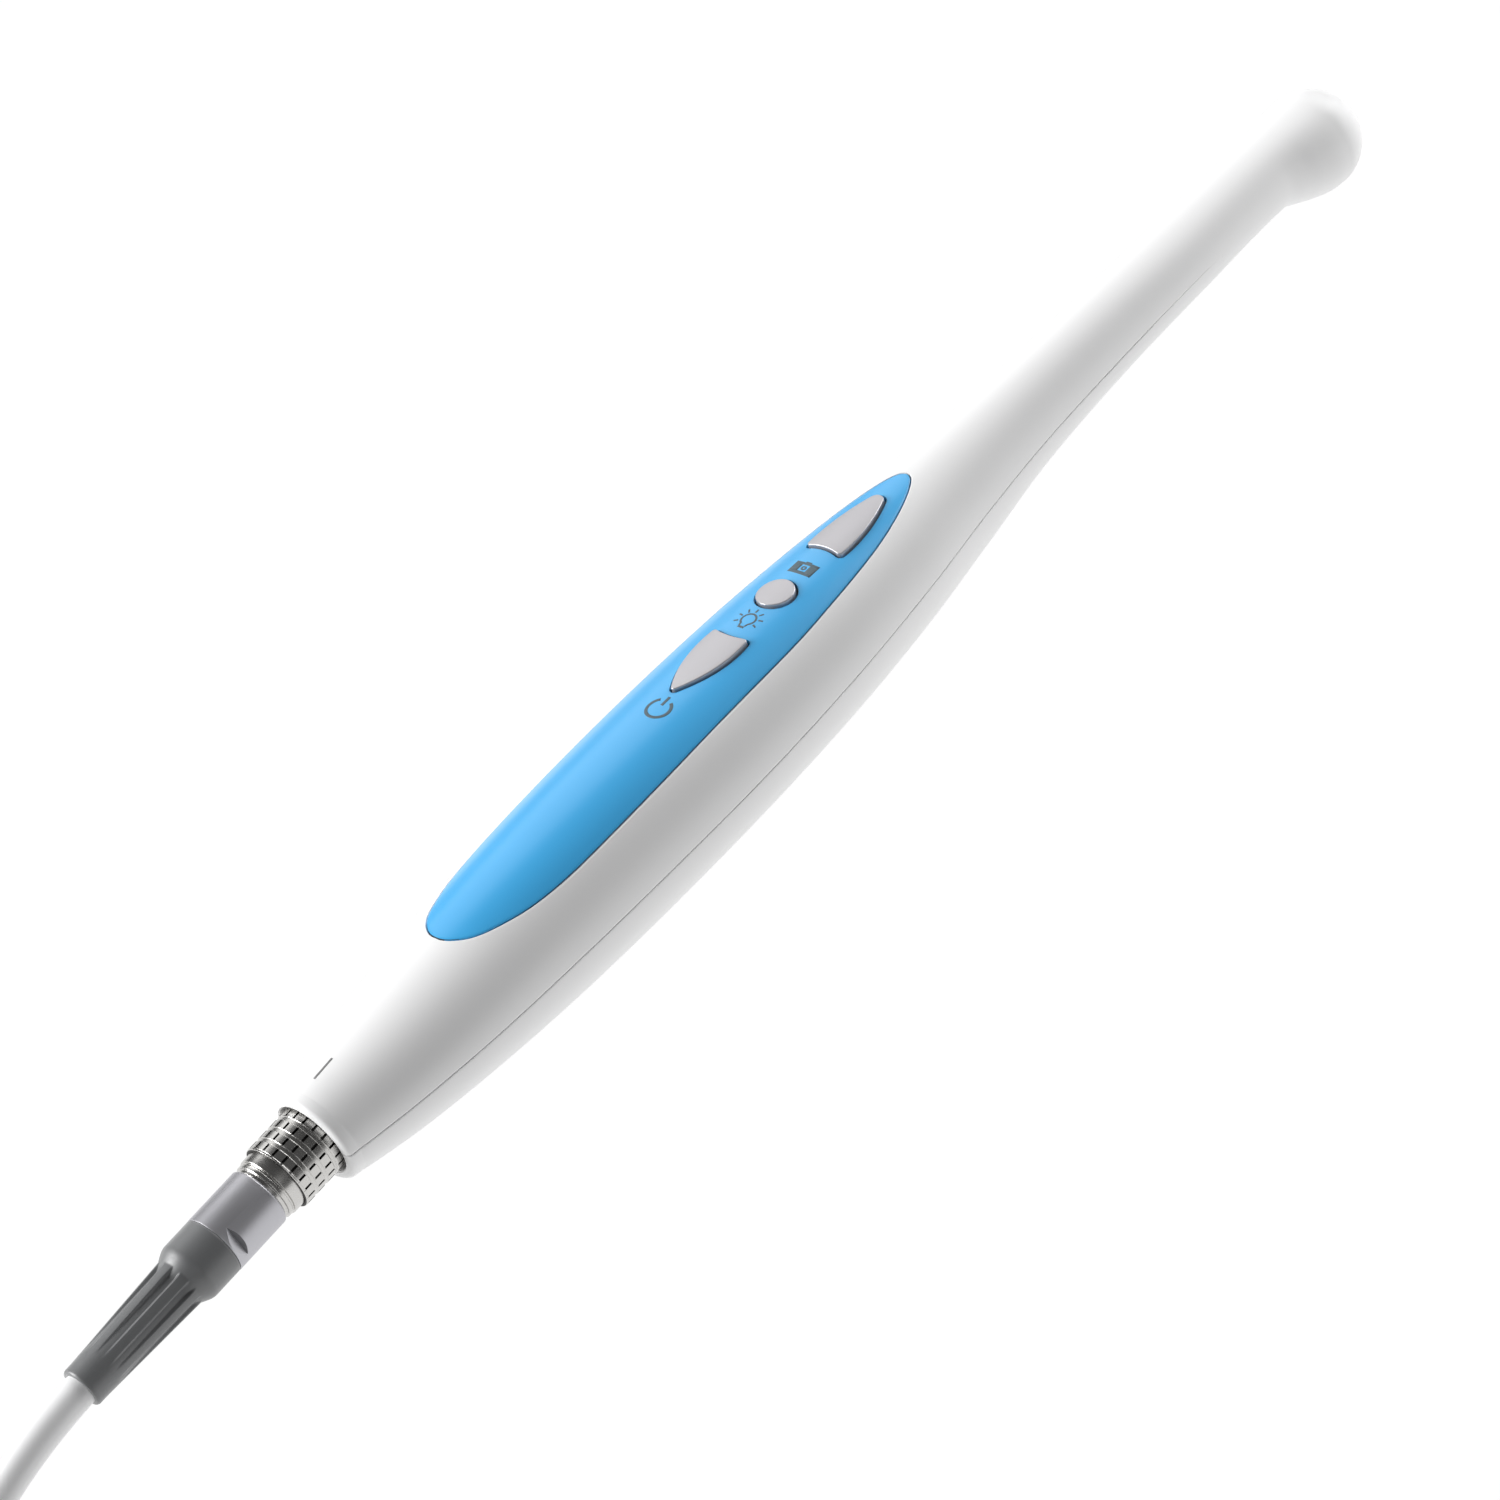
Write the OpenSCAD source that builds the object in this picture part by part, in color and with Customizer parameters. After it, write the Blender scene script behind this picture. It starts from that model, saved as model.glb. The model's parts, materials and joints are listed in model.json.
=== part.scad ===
// Wired dental wand with a camera and a ring of lamps in its round head.
// The wand lies on its belly with its keys up: tail toward -X, head toward +X.
// The origin is under the middle of the wand and its plug, on the surface that it lies on.

/* [Body] */
// Wall of the two white shells
shell_wall = 2.0; // [1.9:0.1:2.2]
// Thickness of the blue control panel
panel_thick = 0.9; // [0.7:0.1:0.9]
// Radius of the round head
head_r = 7.05; // [7.0:0.05:7.2]
// Height of the tail's centre above the surface
axis_z = 11.3; // [11.2:0.05:11.4]
// How far the plug's axis points down from level, in degrees
plug_droop = 1.5; // [0:0.5:2]

/* [Keys] */
// How far each key goes down
key_travel = 0.5; // [0.3:0.1:0.5]
// How far a key's flat top stands above the panel
key_proud = 0.55; // [0.4:0.05:0.7]
// Gap round a key in the panel
key_gap = 0.2; // [0.15:0.05:0.25]
// Radius of the round light key
light_key_r = 2.6; // [2.4:0.1:2.7]

/* [Push-pull plug] */
// Radius of the knurled release sleeve
sleeve_r = 4.5; // [4.4:0.05:4.6]
// Radius of the plug's barrel, inside the socket
barrel_r = 3.3; // [3.2:0.05:3.4]
// Running clearance between parts that slide in each other
running_gap = 0.06; // [0.03:0.01:0.1]
// Segments round each knurled ring
knurl_count = 20; // [16:1:24]
// Radius of the collet nut
nut_r = 3.95; // [3.85:0.05:4.05]

/* [Cord] */
// Diameter of the cable
cable_d = 4.0; // [3.8:0.1:4.0]
// Height of the folded hank
hank_h = 20.0; // [18:1:22]

/* [Hidden] */

// Outline stations of the body, measured from the tail rim and the tail's axis:
// distance along, half width, top, parting height, bottom.
STATIONS = [
    [0, 6.15, 6.15, 0, -6.15],
    [10, 8.1, 6.9, -0.1, -8.0],
    [22, 9.7, 8.0, -0.2, -9.4],
    [36, 10.7, 8.85, -0.35, -10.65],
    [52, 11.4, 9.1, -0.5, -11.25],
    [70, 11.7, 8.65, -0.7, -11.4],
    [88, 11.0, 7.75, -0.9, -11.4],
    [104, 9.5, 6.7, -1.05, -10.9],
    [118, 7.6, 5.9, -1.2, -9.8],
    [132, 6.3, 5.1, -1.3, -7.9],
    [150, 5.65, 4.25, -1.5, -6.95],
    [168, 5.5, 3.4, -1.7, -7.0],
    [187, 5.15, 2.75, -2.4, -7.55],
    [190.3, 5.6, 2.62, -3.1, -8.9],
    [193, 6.25, 2.56, -3.75, -10.1],
    [196, 6.85, 2.54, -4.3, -11.2],
    [198.4, 7.05, 2.55, -4.5, -11.55]
];
head_x = 198.4;
head_z = -4.5;
head_window_z = head_z - 5.9;
tail_wall = 4.6;
lower_end_x = 171.5;
rim_round = 0.55;
ring_step = 10;

// Panel outline: distance along, half width
PANEL = [
    [25.5, 0], [26.1, 2.0], [28, 3.9], [31.5, 5.4], [36, 6.5], [43, 7.15], [56, 7.35],
    [70, 7.15], [82, 6.85], [90, 6.25], [98, 5.35], [104, 4.3], [109, 2.9], [112.3, 1.4],
    [113.3, 0]
];

// Places of the keys along the body
power_x = 77.5;
light_x = 87.9;
capture_x = 98.3;
KEY_MIDDLES = [74.6, 87.9, 102.2];
KEY_HALF_WIDTHS = [3.2, 2.6, 3.0];
power_edge_r = 8.6;
capture_edge_r = 9.3;
key_depth = 4.4;
flange_out = 0.7;
flange_t = 0.6;
key_round = 0.6;

// Main board, tilted with the line of the keys
board_tilt = 3.4;
board_mid_x = 76;
board_mid_z = 1.0;
board_l = 70;
board_w = 11.6;
board_t = 1.0;
switch_w = 4.6;
switch_h = 1.7;

// Plug, measured back from the tail rim along its own axis
sleeve_front = 0.7;
sleeve_back = -6.05;
sleeve_bore = 4.12;
neck_back = -8.75;
nut_back = -16.5;
boot_shoulder = -20.3;
boot_flare = -22.9;
boot_back = -38.1;
boot_r = 3.92;
boot_end_r = 2.52;
boot_core_r = 2.6;
rib_count = 8;
receptacle_front = 1.4;
receptacle_back = 14;
recess_r = 4.9;
pin_r = 0.27;

// Plug's reach when seated, and how far its release sleeve draws back
barrel_front = 11.6;

// Whole part
boot_reach = boot_back * cos(plug_droop) - boot_end_r * sin(plug_droop);
tip_x = head_x + head_r;
tail_x = -(tip_x + boot_reach) / 2;

// Cable's route from the bend relief to the hank: along from the tail rim, across, height
LEAD_ROUTE = [
    [-38.1, 0, 10.3], [-41, 0, 10.1], [-44, 0, 9.75], [-48, 0, 9.0], [-52, 0, 7.9],
    [-57, 0, 6.3], [-62, 0, 4.8], [-67, -0.5, 3.6], [-72, -1.8, 2.9], [-77, -4, 2.8],
    [-83, -7.2, 2.8], [-89, -10.8, 2.8]
];
hank_x = -128;
hank_straight = 52;
hank_r = 18;
hank_floor = 0.8;
tie_t = 0.8;
tie_w = 8;
hank_top = hank_floor + hank_h;
// Cable's route from the top of the hank to the computer plug
TAIL_ROUTE = [
    [-160, 10, 22.8], [-156, 11.4, 22.8], [-152, 12, 23.2], [-148, 12, 24],
    [-144, 12, 25]
];
usb_x = -144;
usb_y = 12;
usb_z = 25.4;
usb_relief_l = 12;
usb_housing_l = 30;
usb_housing_w = 11;
usb_housing_h = 7.6;
usb_shell_l = 12;

$fn = 48;

// ---- functions ----

// Slope of a table's column k at row i
function slope(t, k, i) =
    let (a = max(i - 1, 0), b = min(i + 1, len(t) - 1))
    (t[b][k] - t[a][k]) / (t[b][0] - t[a][0]);
function row_of(t, x, i = 0) =
    i >= len(t) - 2 || x < t[i + 1][0] ? i : row_of(t, x, i + 1);
// Smooth value of column k at x
function value(t, k, x) =
    let (i = row_of(t, x), h = t[i + 1][0] - t[i][0], u = (x - t[i][0]) / h)
    t[i][k] * (2 * u ^ 3 - 3 * u ^ 2 + 1) + t[i + 1][k] * (3 * u ^ 2 - 2 * u ^ 3)
    + h * (slope(t, k, i) * (u ^ 3 - 2 * u ^ 2 + u) + slope(t, k, i + 1) * (u ^ 3 - u ^ 2));
function top_z(x) = value(STATIONS, 2, x);
function split_z(x) = value(STATIONS, 3, x);
function half_width(x) = value(STATIONS, 1, x);
function bottom_z(x) = value(STATIONS, 4, x);
function top_tilt(x) = atan((top_z(x + 1) - top_z(x - 1)) / 2);

// One ring of the body, drawn in by an inset
function ring(x, inset, squeeze = 0) = [
    for (a = [ring_step / 2 : ring_step : 360])
        let (w = half_width(x) - inset - squeeze, mid = split_z(x))
        [
            x, w * cos(a),
            mid + (a <= 180 ? top_z(x) - mid - inset - squeeze
                : mid - bottom_z(x) - inset - squeeze) * sin(a)
        ]
];
function ball_ring(a, inset) = [
    for (b = [ring_step / 2 : ring_step : 360])
        let (r = head_r - inset)
        [head_x + r * sin(a), r * cos(a) * cos(b), head_z + r * cos(a) * sin(b)]
];
// Where the rings stand along the body
function places(start) = concat(
    [for (x = [start, 10, 16, 22, 29, 36, 44, 52, 61, 70, 79, 88, 96, 104, 111]) x],
    [for (x = [118, 125, 132, 141, 150, 160, lower_end_x, 180, 185, 187]) x],
    [for (x = [188.6, 190.3, 191.7, 193, 194.5, 196, 197.2, head_x]) x]
);
// Smooth closed outline through points on one side, mirrored to the other
function side_curve(t) = [
    for (i = [0 : len(t) - 2], u = [0 : 0.25 : 0.75])
        let (
            p0 = t[max(i - 1, 0)], p1 = t[i], p2 = t[i + 1], p3 = t[min(i + 2, len(t) - 1)],
            a = i == 0 ? [p2[0], -p2[1]] : p0,
            b = i == len(t) - 2 ? [p1[0], -p1[1]] : p3
        )
        0.5 * (2 * p1 + (p2 - a) * u + (2 * a - 5 * p1 + 4 * p2 - b) * u ^ 2
            + (3 * p1 - a - 3 * p2 + b) * u ^ 3)
];
function mirrored(c) = concat(c, [for (i = [len(c) - 1 : -1 : 1]) [c[i][0], -c[i][1]]]);

// Rings of a round tube along a route
function unit(v) = v / norm(v);
function tube_ring(route, i, r, sides) =
    let (
        a = route[max(i - 1, 0)], b = route[min(i + 1, len(route) - 1)],
        t = unit(b - a), side = unit(cross(t, [0, 0, 1])), up = cross(side, t)
    )
    [for (k = [0 : sides - 1]) route[i] + r * (side * cos(k * 360 / sides) + up * sin(k * 360 / sides))];
function tube_faces(n, sides) = concat(
    [[for (k = [0 : sides - 1]) k]],
    [
        for (i = [0 : n - 2], k = [0 : sides - 1])
            let (j = (k + 1) % sides)
            [i * sides + k, (i + 1) * sides + k, (i + 1) * sides + j, i * sides + j]
    ],
    [[for (k = [sides - 1 : -1 : 0]) (n - 1) * sides + k]]
);

// ---- shared shapes ----

// Moves what is measured from the tail rim into the part's own frame
module on_body() {
    translate([tail_x, 0, axis_z]) children();
}
// A round part drawn in rotate_extrude's way, laid along the plug's axis
module on_plug() {
    on_body() rotate([0, 90 - plug_droop, 0]) children();
}
module turned(outline) {
    on_plug() rotate_extrude($fn = 64) polygon(outline);
}
// A round part that stands on the head's window axis
module on_head() {
    on_body() translate([head_x, 0, head_z]) children();
}
module at_key(x) {
    on_body() translate([x, 0, top_z(x)]) rotate([0, -top_tilt(x), 0]) children();
}
module on_board() {
    on_body() translate([board_mid_x, 0, board_mid_z]) rotate([0, board_tilt, 0]) children();
}

module body_solid(inset, start) {
    xs = places(start);
    rounded = [for (x = xs) ring(x, inset)];
    ball = [for (a = [15 : 15 : 75]) ball_ring(a, inset)];
    rings = concat(
        inset > 0 ? [] : [ring(start, 0, rim_round), ring(start + rim_round / 3, 0, rim_round / 3)],
        inset > 0 ? rounded : concat([ring(start + rim_round, 0)], [for (i = [1 : len(rounded) - 1]) rounded[i]]),
        ball
    );
    n = 360 / ring_step;
    last = len(rings) - 1;
    points = concat([for (r = rings, p = r) p], [[tip_x - inset, 0, head_z]]);
    faces = concat(
        [[for (k = [0 : n - 1]) k]],
        [
            for (i = [0 : last - 1], k = [0 : n - 1])
                let (j = (k + 1) % n)
                [i * n + k, i * n + j, (i + 1) * n + j]
        ],
        [
            for (i = [0 : last - 1], k = [0 : n - 1])
                let (j = (k + 1) % n)
                [i * n + k, (i + 1) * n + j, (i + 1) * n + k]
        ],
        [for (k = [0 : n - 1]) [last * n + k, last * n + (k + 1) % n, len(points) - 1]]
    );
    on_body() polyhedron(points, [for (f = faces) [for (i = [len(f) - 1 : -1 : 0]) f[i]]]);
}

// Everything above the parting line, and the whole head past the lower shell's end
module above_parting() {
    on_body() rotate([90, 0, 0]) translate([0, 0, -30]) linear_extrude(60) polygon(concat(
        [[-5, 30], [-5, 0.013]],
        [for (x = [7.3, 26.4, 55.7, 84.1, 114.2, 145.3, lower_end_x - 0.3]) [x, split_z(x)]],
        [[lower_end_x - 0.3, -30], [tip_x + 5, -30], [tip_x + 5, 30]]
    ));
}

module panel_prism(grow) {
    on_body() linear_extrude(30) offset(delta = grow) polygon(mirrored(side_curve(PANEL)));
}

// Plan outlines of the keys, with x measured from each key's middle
module power_outline() {
    translate([-KEY_MIDDLES[0], 0]) offset(r = key_round, $fn = 24) offset(delta = -key_round)
        difference() {
            intersection() {
                translate([power_x, -12.8]) circle(r = 16, $fn = 96);
                translate([power_x, 12.8]) circle(r = 16, $fn = 96);
            }
            translate([light_x, 0]) circle(r = power_edge_r, $fn = 96);
        }
}
module capture_outline() {
    translate([-KEY_MIDDLES[2], 0]) offset(r = key_round, $fn = 24) offset(delta = -key_round)
        difference() {
            intersection() {
                translate([capture_x, -19]) circle(r = 22.1, $fn = 96);
                translate([capture_x, 19]) circle(r = 22.1, $fn = 96);
            }
            translate([light_x, 0]) circle(r = capture_edge_r, $fn = 96);
        }
}
module light_outline() {
    circle(r = light_key_r, $fn = 64);
}
module key_outline(i) {
    if (i == 0) power_outline();
    if (i == 1) light_outline();
    if (i == 2) capture_outline();
}
module key_wells() {
    for (i = [0 : 2])
        at_key(KEY_MIDDLES[i]) translate([0, 0, -key_depth - 3])
            linear_extrude(key_depth + 8) offset(delta = key_gap) key_outline(i);
}
module key_body(i) {
    half = KEY_HALF_WIDTHS[i] + key_gap + flange_out;
    at_key(KEY_MIDDLES[i]) {
        translate([0, 0, -key_depth]) linear_extrude(key_depth + key_proud) key_outline(i);
        translate([-1, -half, -key_depth + 0.1]) cube([2, 2 * half, flange_t]);
    }
}
// Height of the board's top face under a key, in the key's own upright direction
function board_drop(x) =
    top_z(x) - (board_mid_z + board_t / 2 - (x - board_mid_x) * tan(board_tilt));
// Place along the board of the switch under a key
function switch_place(x) =
    (x + (board_drop(x) - switch_h / 2) * sin(top_tilt(x)) - board_mid_x) / cos(board_tilt)
    - (board_t + switch_h) / 2 * tan(board_tilt);
module plunger(i) {
    x = KEY_MIDDLES[i];
    at_key(x) translate([0, 0, -board_drop(x) + switch_h - 0.75])
        cylinder(r = 1.0, h = board_drop(x) - switch_h + 0.75 - key_depth, $fn = 32);
}

// ---- handpiece ----

// Small beads inside the wall that snap the shells together, above or below the parting line
module snap_beads(side) {
    for (x = [40, 62, 124, 146], s = [-1, 1])
        on_body() translate([0, s * (half_width(x) - shell_wall + 0.1), split_z(x) + side * 1.2])
            hull() for (d = [-1.5, 1.5]) translate([x + d, 0, 0]) sphere(r = 0.5, $fn = 8);
}

module upper_shell() {
    color("white") difference() {
        union() {
            intersection() {
                difference() {
                    body_solid(0, 0);
                    body_solid(shell_wall, tail_wall);
                }
                above_parting();
            }
            snap_beads(1);
        }
        difference() {
            panel_prism(0.12);
            body_solid(panel_thick, tail_wall - 2);
        }
        key_wells();
        receptacle_room();
        on_head() rotate([0, 0, 4.3]) translate([0, 0, -head_r - 1])
            cylinder(r = 3.95, h = head_r - 1.5, $fn = 40);
        on_body() translate([head_x - 6, -6, head_window_z - 4]) cube([12, 12, 4]);
    }
}

module lower_shell() {
    color("white") difference() {
        union() {
            difference() {
                body_solid(0, 0);
                body_solid(shell_wall, tail_wall);
                above_parting();
            }
            snap_beads(-1);
        }
        receptacle_room();
        on_body() translate([0, -20, -axis_z - 5]) cube([160, 40, 5]);
    }
}

// Bore of the tail for the socket, with the groove that holds its flange
module receptacle_room() {
    on_plug() rotate([0, 0, 4.3]) {
        translate([0, 0, -2]) cylinder(r = recess_r, h = 2 + receptacle_front, $fn = 40);
        translate([0, 0, 0.3]) cylinder(r = 4.42, h = 12, $fn = 40);
        translate([0, 0, 2.2]) cylinder(r = 5.42, h = 1.2, $fn = 40);
        translate([0, 0, 4.3]) cylinder(r = 5.4, h = 3.6, $fn = 40);
    }
}

module control_panel() {
    color("deepskyblue") difference() {
        intersection() {
            difference() {
                body_solid(0, 0);
                body_solid(panel_thick - 0.02, tail_wall - 2);
            }
            panel_prism(0);
        }
        key_wells();
    }
}

module capture_key() {
    color("gainsboro") key_body(2);
}
module light_key() {
    color("gainsboro") key_body(1);
}
module power_key() {
    color("gainsboro") key_body(0);
}
module capture_plunger() {
    color("black") plunger(2);
}
module light_plunger() {
    color("black") plunger(1);
}
module power_plunger() {
    color("black") plunger(0);
}

// ---- board and controls ----

module tact_switches() {
    color("silver") for (x = KEY_MIDDLES)
        on_board() translate([switch_place(x), 0, board_t / 2]) difference() {
            translate([-switch_w / 2, -switch_w / 2, 0]) cube([switch_w, switch_w, switch_h]);
            translate([0, 0, 0.3]) cylinder(r = 1.35, h = switch_h, $fn = 32);
        }
}

module key_mat() {
    color("gray") difference() {
        on_board() translate([-12, -4.6, board_t / 2]) cube([42, 9.2, 0.5]);
        for (x = KEY_MIDDLES)
            on_board() translate([switch_place(x) - 2.5, -2.5, 0]) cube([5, 5, 3]);
    }
}

module main_board() {
    color("darkgreen") on_board() difference() {
        translate([-board_l / 2, -board_w / 2, -board_t / 2]) cube([board_l, board_w, board_t]);
        for (x = [-33, 32], y = [-4.4, 4.4])
            translate([x, y, -2]) cylinder(r = 0.8, h = 4, $fn = 24);
    }
}

module board_chips() {
    color("dimgray") on_board() {
        translate([-9, -4, -board_t / 2 - 1.0]) cube([8, 8, 1.0]);
        translate([6, -3.5, -board_t / 2 - 0.9]) cube([7, 7, 0.9]);
        translate([-22, -2.5, -board_t / 2 - 1.4]) cube([5, 5, 1.4]);
        for (i = [0 : 5]) translate([-28 + i * 2.2, 3.4, board_t / 2]) cube([1.2, 1.6, 0.8]);
        for (i = [0 : 3]) translate([17 + i * 2.6, -5, -board_t / 2 - 0.7]) cube([1.6, 0.9, 0.7]);
    }
}

module board_screws() {
    color("silver") on_board() for (x = [-33, 32], y = [-4.4, 4.4]) translate([x, y, 0]) {
        translate([0, 0, board_t / 2]) cylinder(r = 1.2, h = 0.7, $fn = 24);
        translate([0, 0, -2.6]) cylinder(r = 0.75, h = 2.6 + board_t / 2, $fn = 24);
    }
}

module harness_header() {
    color("ivory") on_board() translate([-board_l / 2 - 1.5, -3, board_t / 2]) cube([4, 6, 2.4]);
}

// Four leads from the back of the socket to the header
module wire_harness() {
    color("firebrick") for (y = [-2.1, -0.7, 0.7, 2.1]) {
        route = [
            [18.4, y / 2, -0.4], [24, y, -0.4], [30, y, 1.2], [35, y, 3.6], [39.2, y, 4.6]
        ];
        rings = [for (i = [0 : len(route) - 1], p = tube_ring(route, i, 0.45, 8)) p];
        on_body() polyhedron(rings, tube_faces(len(route), 8));
    }
}

// Flat flexible strip from the board, down the neck, to the sensor board
module ribbon_cable() {
    color("darkorange") on_body() rotate([90, 0, 0]) translate([0, 0, -2.2])
        linear_extrude(4.4) polygon([
            [111.4, -1.25], [120, -1.5], [135, -1.2], [150, -1.5], [170, -1.9], [188, -2.4],
            [195.3, -2.4], [195.3, -2.7], [188, -2.7], [170, -2.2], [150, -1.8], [135, -1.5],
            [120, -1.8], [111.4, -1.55]
        ]);
}

// ---- head, on the window's axis, measured from the head's centre ----

module window_bezel() {
    color("silver") on_head() rotate_extrude($fn = 64)
        polygon([[3.35, -5.9], [3.9, -5.9], [3.9, -4.6], [3.1, -4.6], [3.1, -4.95], [3.35, -4.95]]);
}
module window_glass() {
    color("lightblue") on_head() translate([0, 0, -5.8]) cylinder(r = 3.33, h = 0.83, $fn = 64);
}
module window_gasket() {
    color("black") on_head() rotate_extrude($fn = 48)
        polygon([[3.15, -4.6], [3.85, -4.6], [3.85, -4.2], [3.15, -4.2]]);
}
module light_baffle() {
    color("black") on_head() rotate_extrude($fn = 48)
        polygon([[1.25, -4.9], [1.6, -4.9], [1.6, -3.2], [1.25, -3.2]]);
}
module lamp_board() {
    color("white") on_head() rotate_extrude($fn = 48)
        polygon([[1.65, -3.8], [3.85, -3.8], [3.85, -3.2], [1.65, -3.2]]);
}
module lamps() {
    color("lemonchiffon") on_head() for (a = [0 : 60 : 300])
        rotate([0, 0, a + 30]) translate([2.2, -0.5, -4.4]) cube([0.8, 1.0, 0.6]);
}
module head_frame() {
    color("silver") on_head() rotate_extrude($fn = 48)
        polygon([[2.1, -3.2], [3.85, -3.2], [3.85, 0.4], [3.3, 0.4], [3.3, -2.6], [2.1, -2.6]]);
}
module lens_barrel() {
    color("black") on_head() rotate_extrude($fn = 48)
        polygon([[1.0, -3.15], [2.0, -3.15], [2.0, 0.3], [1.0, 0.3]]);
}
module barrel_lock_ring() {
    color("silver") on_head() rotate_extrude($fn = 48)
        polygon([[2.05, -2.55], [3.2, -2.55], [3.2, -1.9], [2.05, -1.9]]);
}
module front_lens() {
    color("lightblue") on_head() translate([0, 0, -3.1]) cylinder(r = 0.98, h = 0.9, $fn = 32);
}
module rear_lens() {
    color("lightblue") on_head() translate([0, 0, -1.6]) cylinder(r = 0.98, h = 0.9, $fn = 32);
}
module image_sensor() {
    color("darkslategray") on_head() translate([-1.5, -1.5, 0.7]) cube([3, 3, 0.7]);
}
module sensor_board() {
    color("darkgreen") on_head() translate([-3, -2.6, 1.4]) cube([6, 5.2, 0.4]);
}

// ---- socket in the tail ----

module receptacle_body() {
    color("silver") difference() {
        turned([
            [0, receptacle_front + 0.05], [4.35, receptacle_front + 0.05], [4.35, 2.25],
            [5.35, 2.25], [5.35, 3.35], [4.35, 3.35], [4.35, receptacle_back],
            [0, receptacle_back]
        ]);
        on_plug() translate([0, 0, -1]) cylinder(r = barrel_r + running_gap, h = 13, $fn = 64);
        on_plug() translate([0, 0, 11]) cylinder(r = 2.5, h = 5, $fn = 48);
    }
}
module receptacle_insulator() {
    color("dimgray") difference() {
        on_plug() translate([0, 0, 8.3]) cylinder(r = 2.5, h = 7.7, $fn = 48);
        contact_ring(8.2, 12.2, pin_r + 0.06);
        contact_ring(11, 17, pin_r);
    }
}
// Nine round shapes: eight in a ring and one in the middle
module contact_ring(from, to, r) {
    on_plug() translate([0, 0, from]) {
        cylinder(r = r, h = to - from, $fn = 24);
        for (a = [0 : 45 : 315]) rotate([0, 0, a]) translate([1.6, 0, 0])
            cylinder(r = r, h = to - from, $fn = 24);
    }
}
module receptacle_contacts() {
    color("gold") contact_ring(12.2, 18.2, pin_r);
}
module receptacle_nut() {
    color("silver") turned([[4.37, 4.9], [5.3, 4.9], [5.3, 7.0], [4.37, 7.0]]);
}
module receptacle_seal() {
    color("black") turned([[4.37, 7.05], [5.0, 7.05], [5.0, 7.8], [4.37, 7.8]]);
}

// ---- plug ----

module plug_body() {
    color("silver") difference() {
        turned([
            [0, barrel_front], [barrel_r - 0.2, barrel_front], [barrel_r, barrel_front - 0.3],
            [barrel_r, 0.9], [4.06, 0.9], [4.06, -0.7], [3.7, -0.7], [3.7, -1.5], [4.06, -1.5],
            [4.06, -7.5], [3.75, -7.5], [3.75, -7.8],
            [3.9, -7.8], [3.9, -8.3], [3.6, -8.3], [3.6, neck_back], [3.2, neck_back],
            [3.2, -12.5], [0, -12.5]
        ]);
        on_plug() translate([0, 0, 0]) cylinder(r = 2.6, h = 14, $fn = 48);
        on_plug() translate([0, 0, -14]) cylinder(r = 2.55, h = 10, $fn = 48);
        on_plug() translate([0, 0, -5]) cylinder(r = 1.95, h = 10, $fn = 48);
    }
}
module plug_insulator() {
    color("dimgray") difference() {
        on_plug() cylinder(r = 2.58, h = 8.0, $fn = 48);
        contact_ring(-1, 9, pin_r);
    }
}
module plug_pins() {
    color("gold") contact_ring(-1.5, 11.3, pin_r);
}
// Sprung split ring under the sleeve's front end, in a groove of the plug's body
module latch_ring() {
    color("silver") difference() {
        turned([[3.72, -0.75], [4.05, -0.75], [4.05, -1.45], [3.72, -1.45]]);
        on_plug() translate([0, -0.3, -3]) cube([6, 0.6, 4]);
    }
}
module plug_seal() {
    color("black") turned([[barrel_r + 0.02, 0.92], [4.0, 0.92], [4.0, 1.4], [barrel_r + 0.02, 1.4]]);
}

module release_sleeve() {
    ring_pitch = (sleeve_front - sleeve_back) / 4.2;
    color("silver") difference() {
        turned([
            [sleeve_bore, sleeve_front], [sleeve_r - 0.15, sleeve_front],
            [sleeve_r, sleeve_front - 0.15], [sleeve_r, sleeve_back + 0.15],
            [sleeve_r - 0.15, sleeve_back], [sleeve_bore, sleeve_back]
        ]);
        for (i = [1 : 3]) on_plug() translate([0, 0, sleeve_back + 0.3 + i * ring_pitch - 0.15])
            difference() {
                cylinder(r = 6, h = 0.3, $fn = 64);
                translate([0, 0, -1]) cylinder(r = sleeve_r - 0.2, h = 3, $fn = 64);
            }
        for (a = [0 : 360 / knurl_count : 359]) on_plug() rotate([0, 0, a])
            translate([sleeve_r - 0.2, -0.18, sleeve_back + 0.4])
                cube([1, 0.36, sleeve_front - sleeve_back - 0.8]);
    }
}

module cable_collet() {
    color("goldenrod") turned([
        [2.02, -16.0], [2.5, -16.0], [2.5, -8.0], [2.02, -8.0]
    ]);
}

module collet_nut() {
    flat_out = 3.28;
    color("silver") difference() {
        turned([
            [3.24, neck_back - 0.02], [nut_r - 0.25, neck_back - 0.02],
            [nut_r, neck_back - 0.25], [nut_r, nut_back + 0.1],
            [nut_r - 0.1, nut_back], [2.55, nut_back], [2.55, -12.6], [3.24, -12.6]
        ]);
        on_plug() for (a = [0, 180]) rotate([0, 0, a + 250])
            translate([flat_out, -5, -14.95]) cube([3, 10, 1.25]);
    }
}

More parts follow.
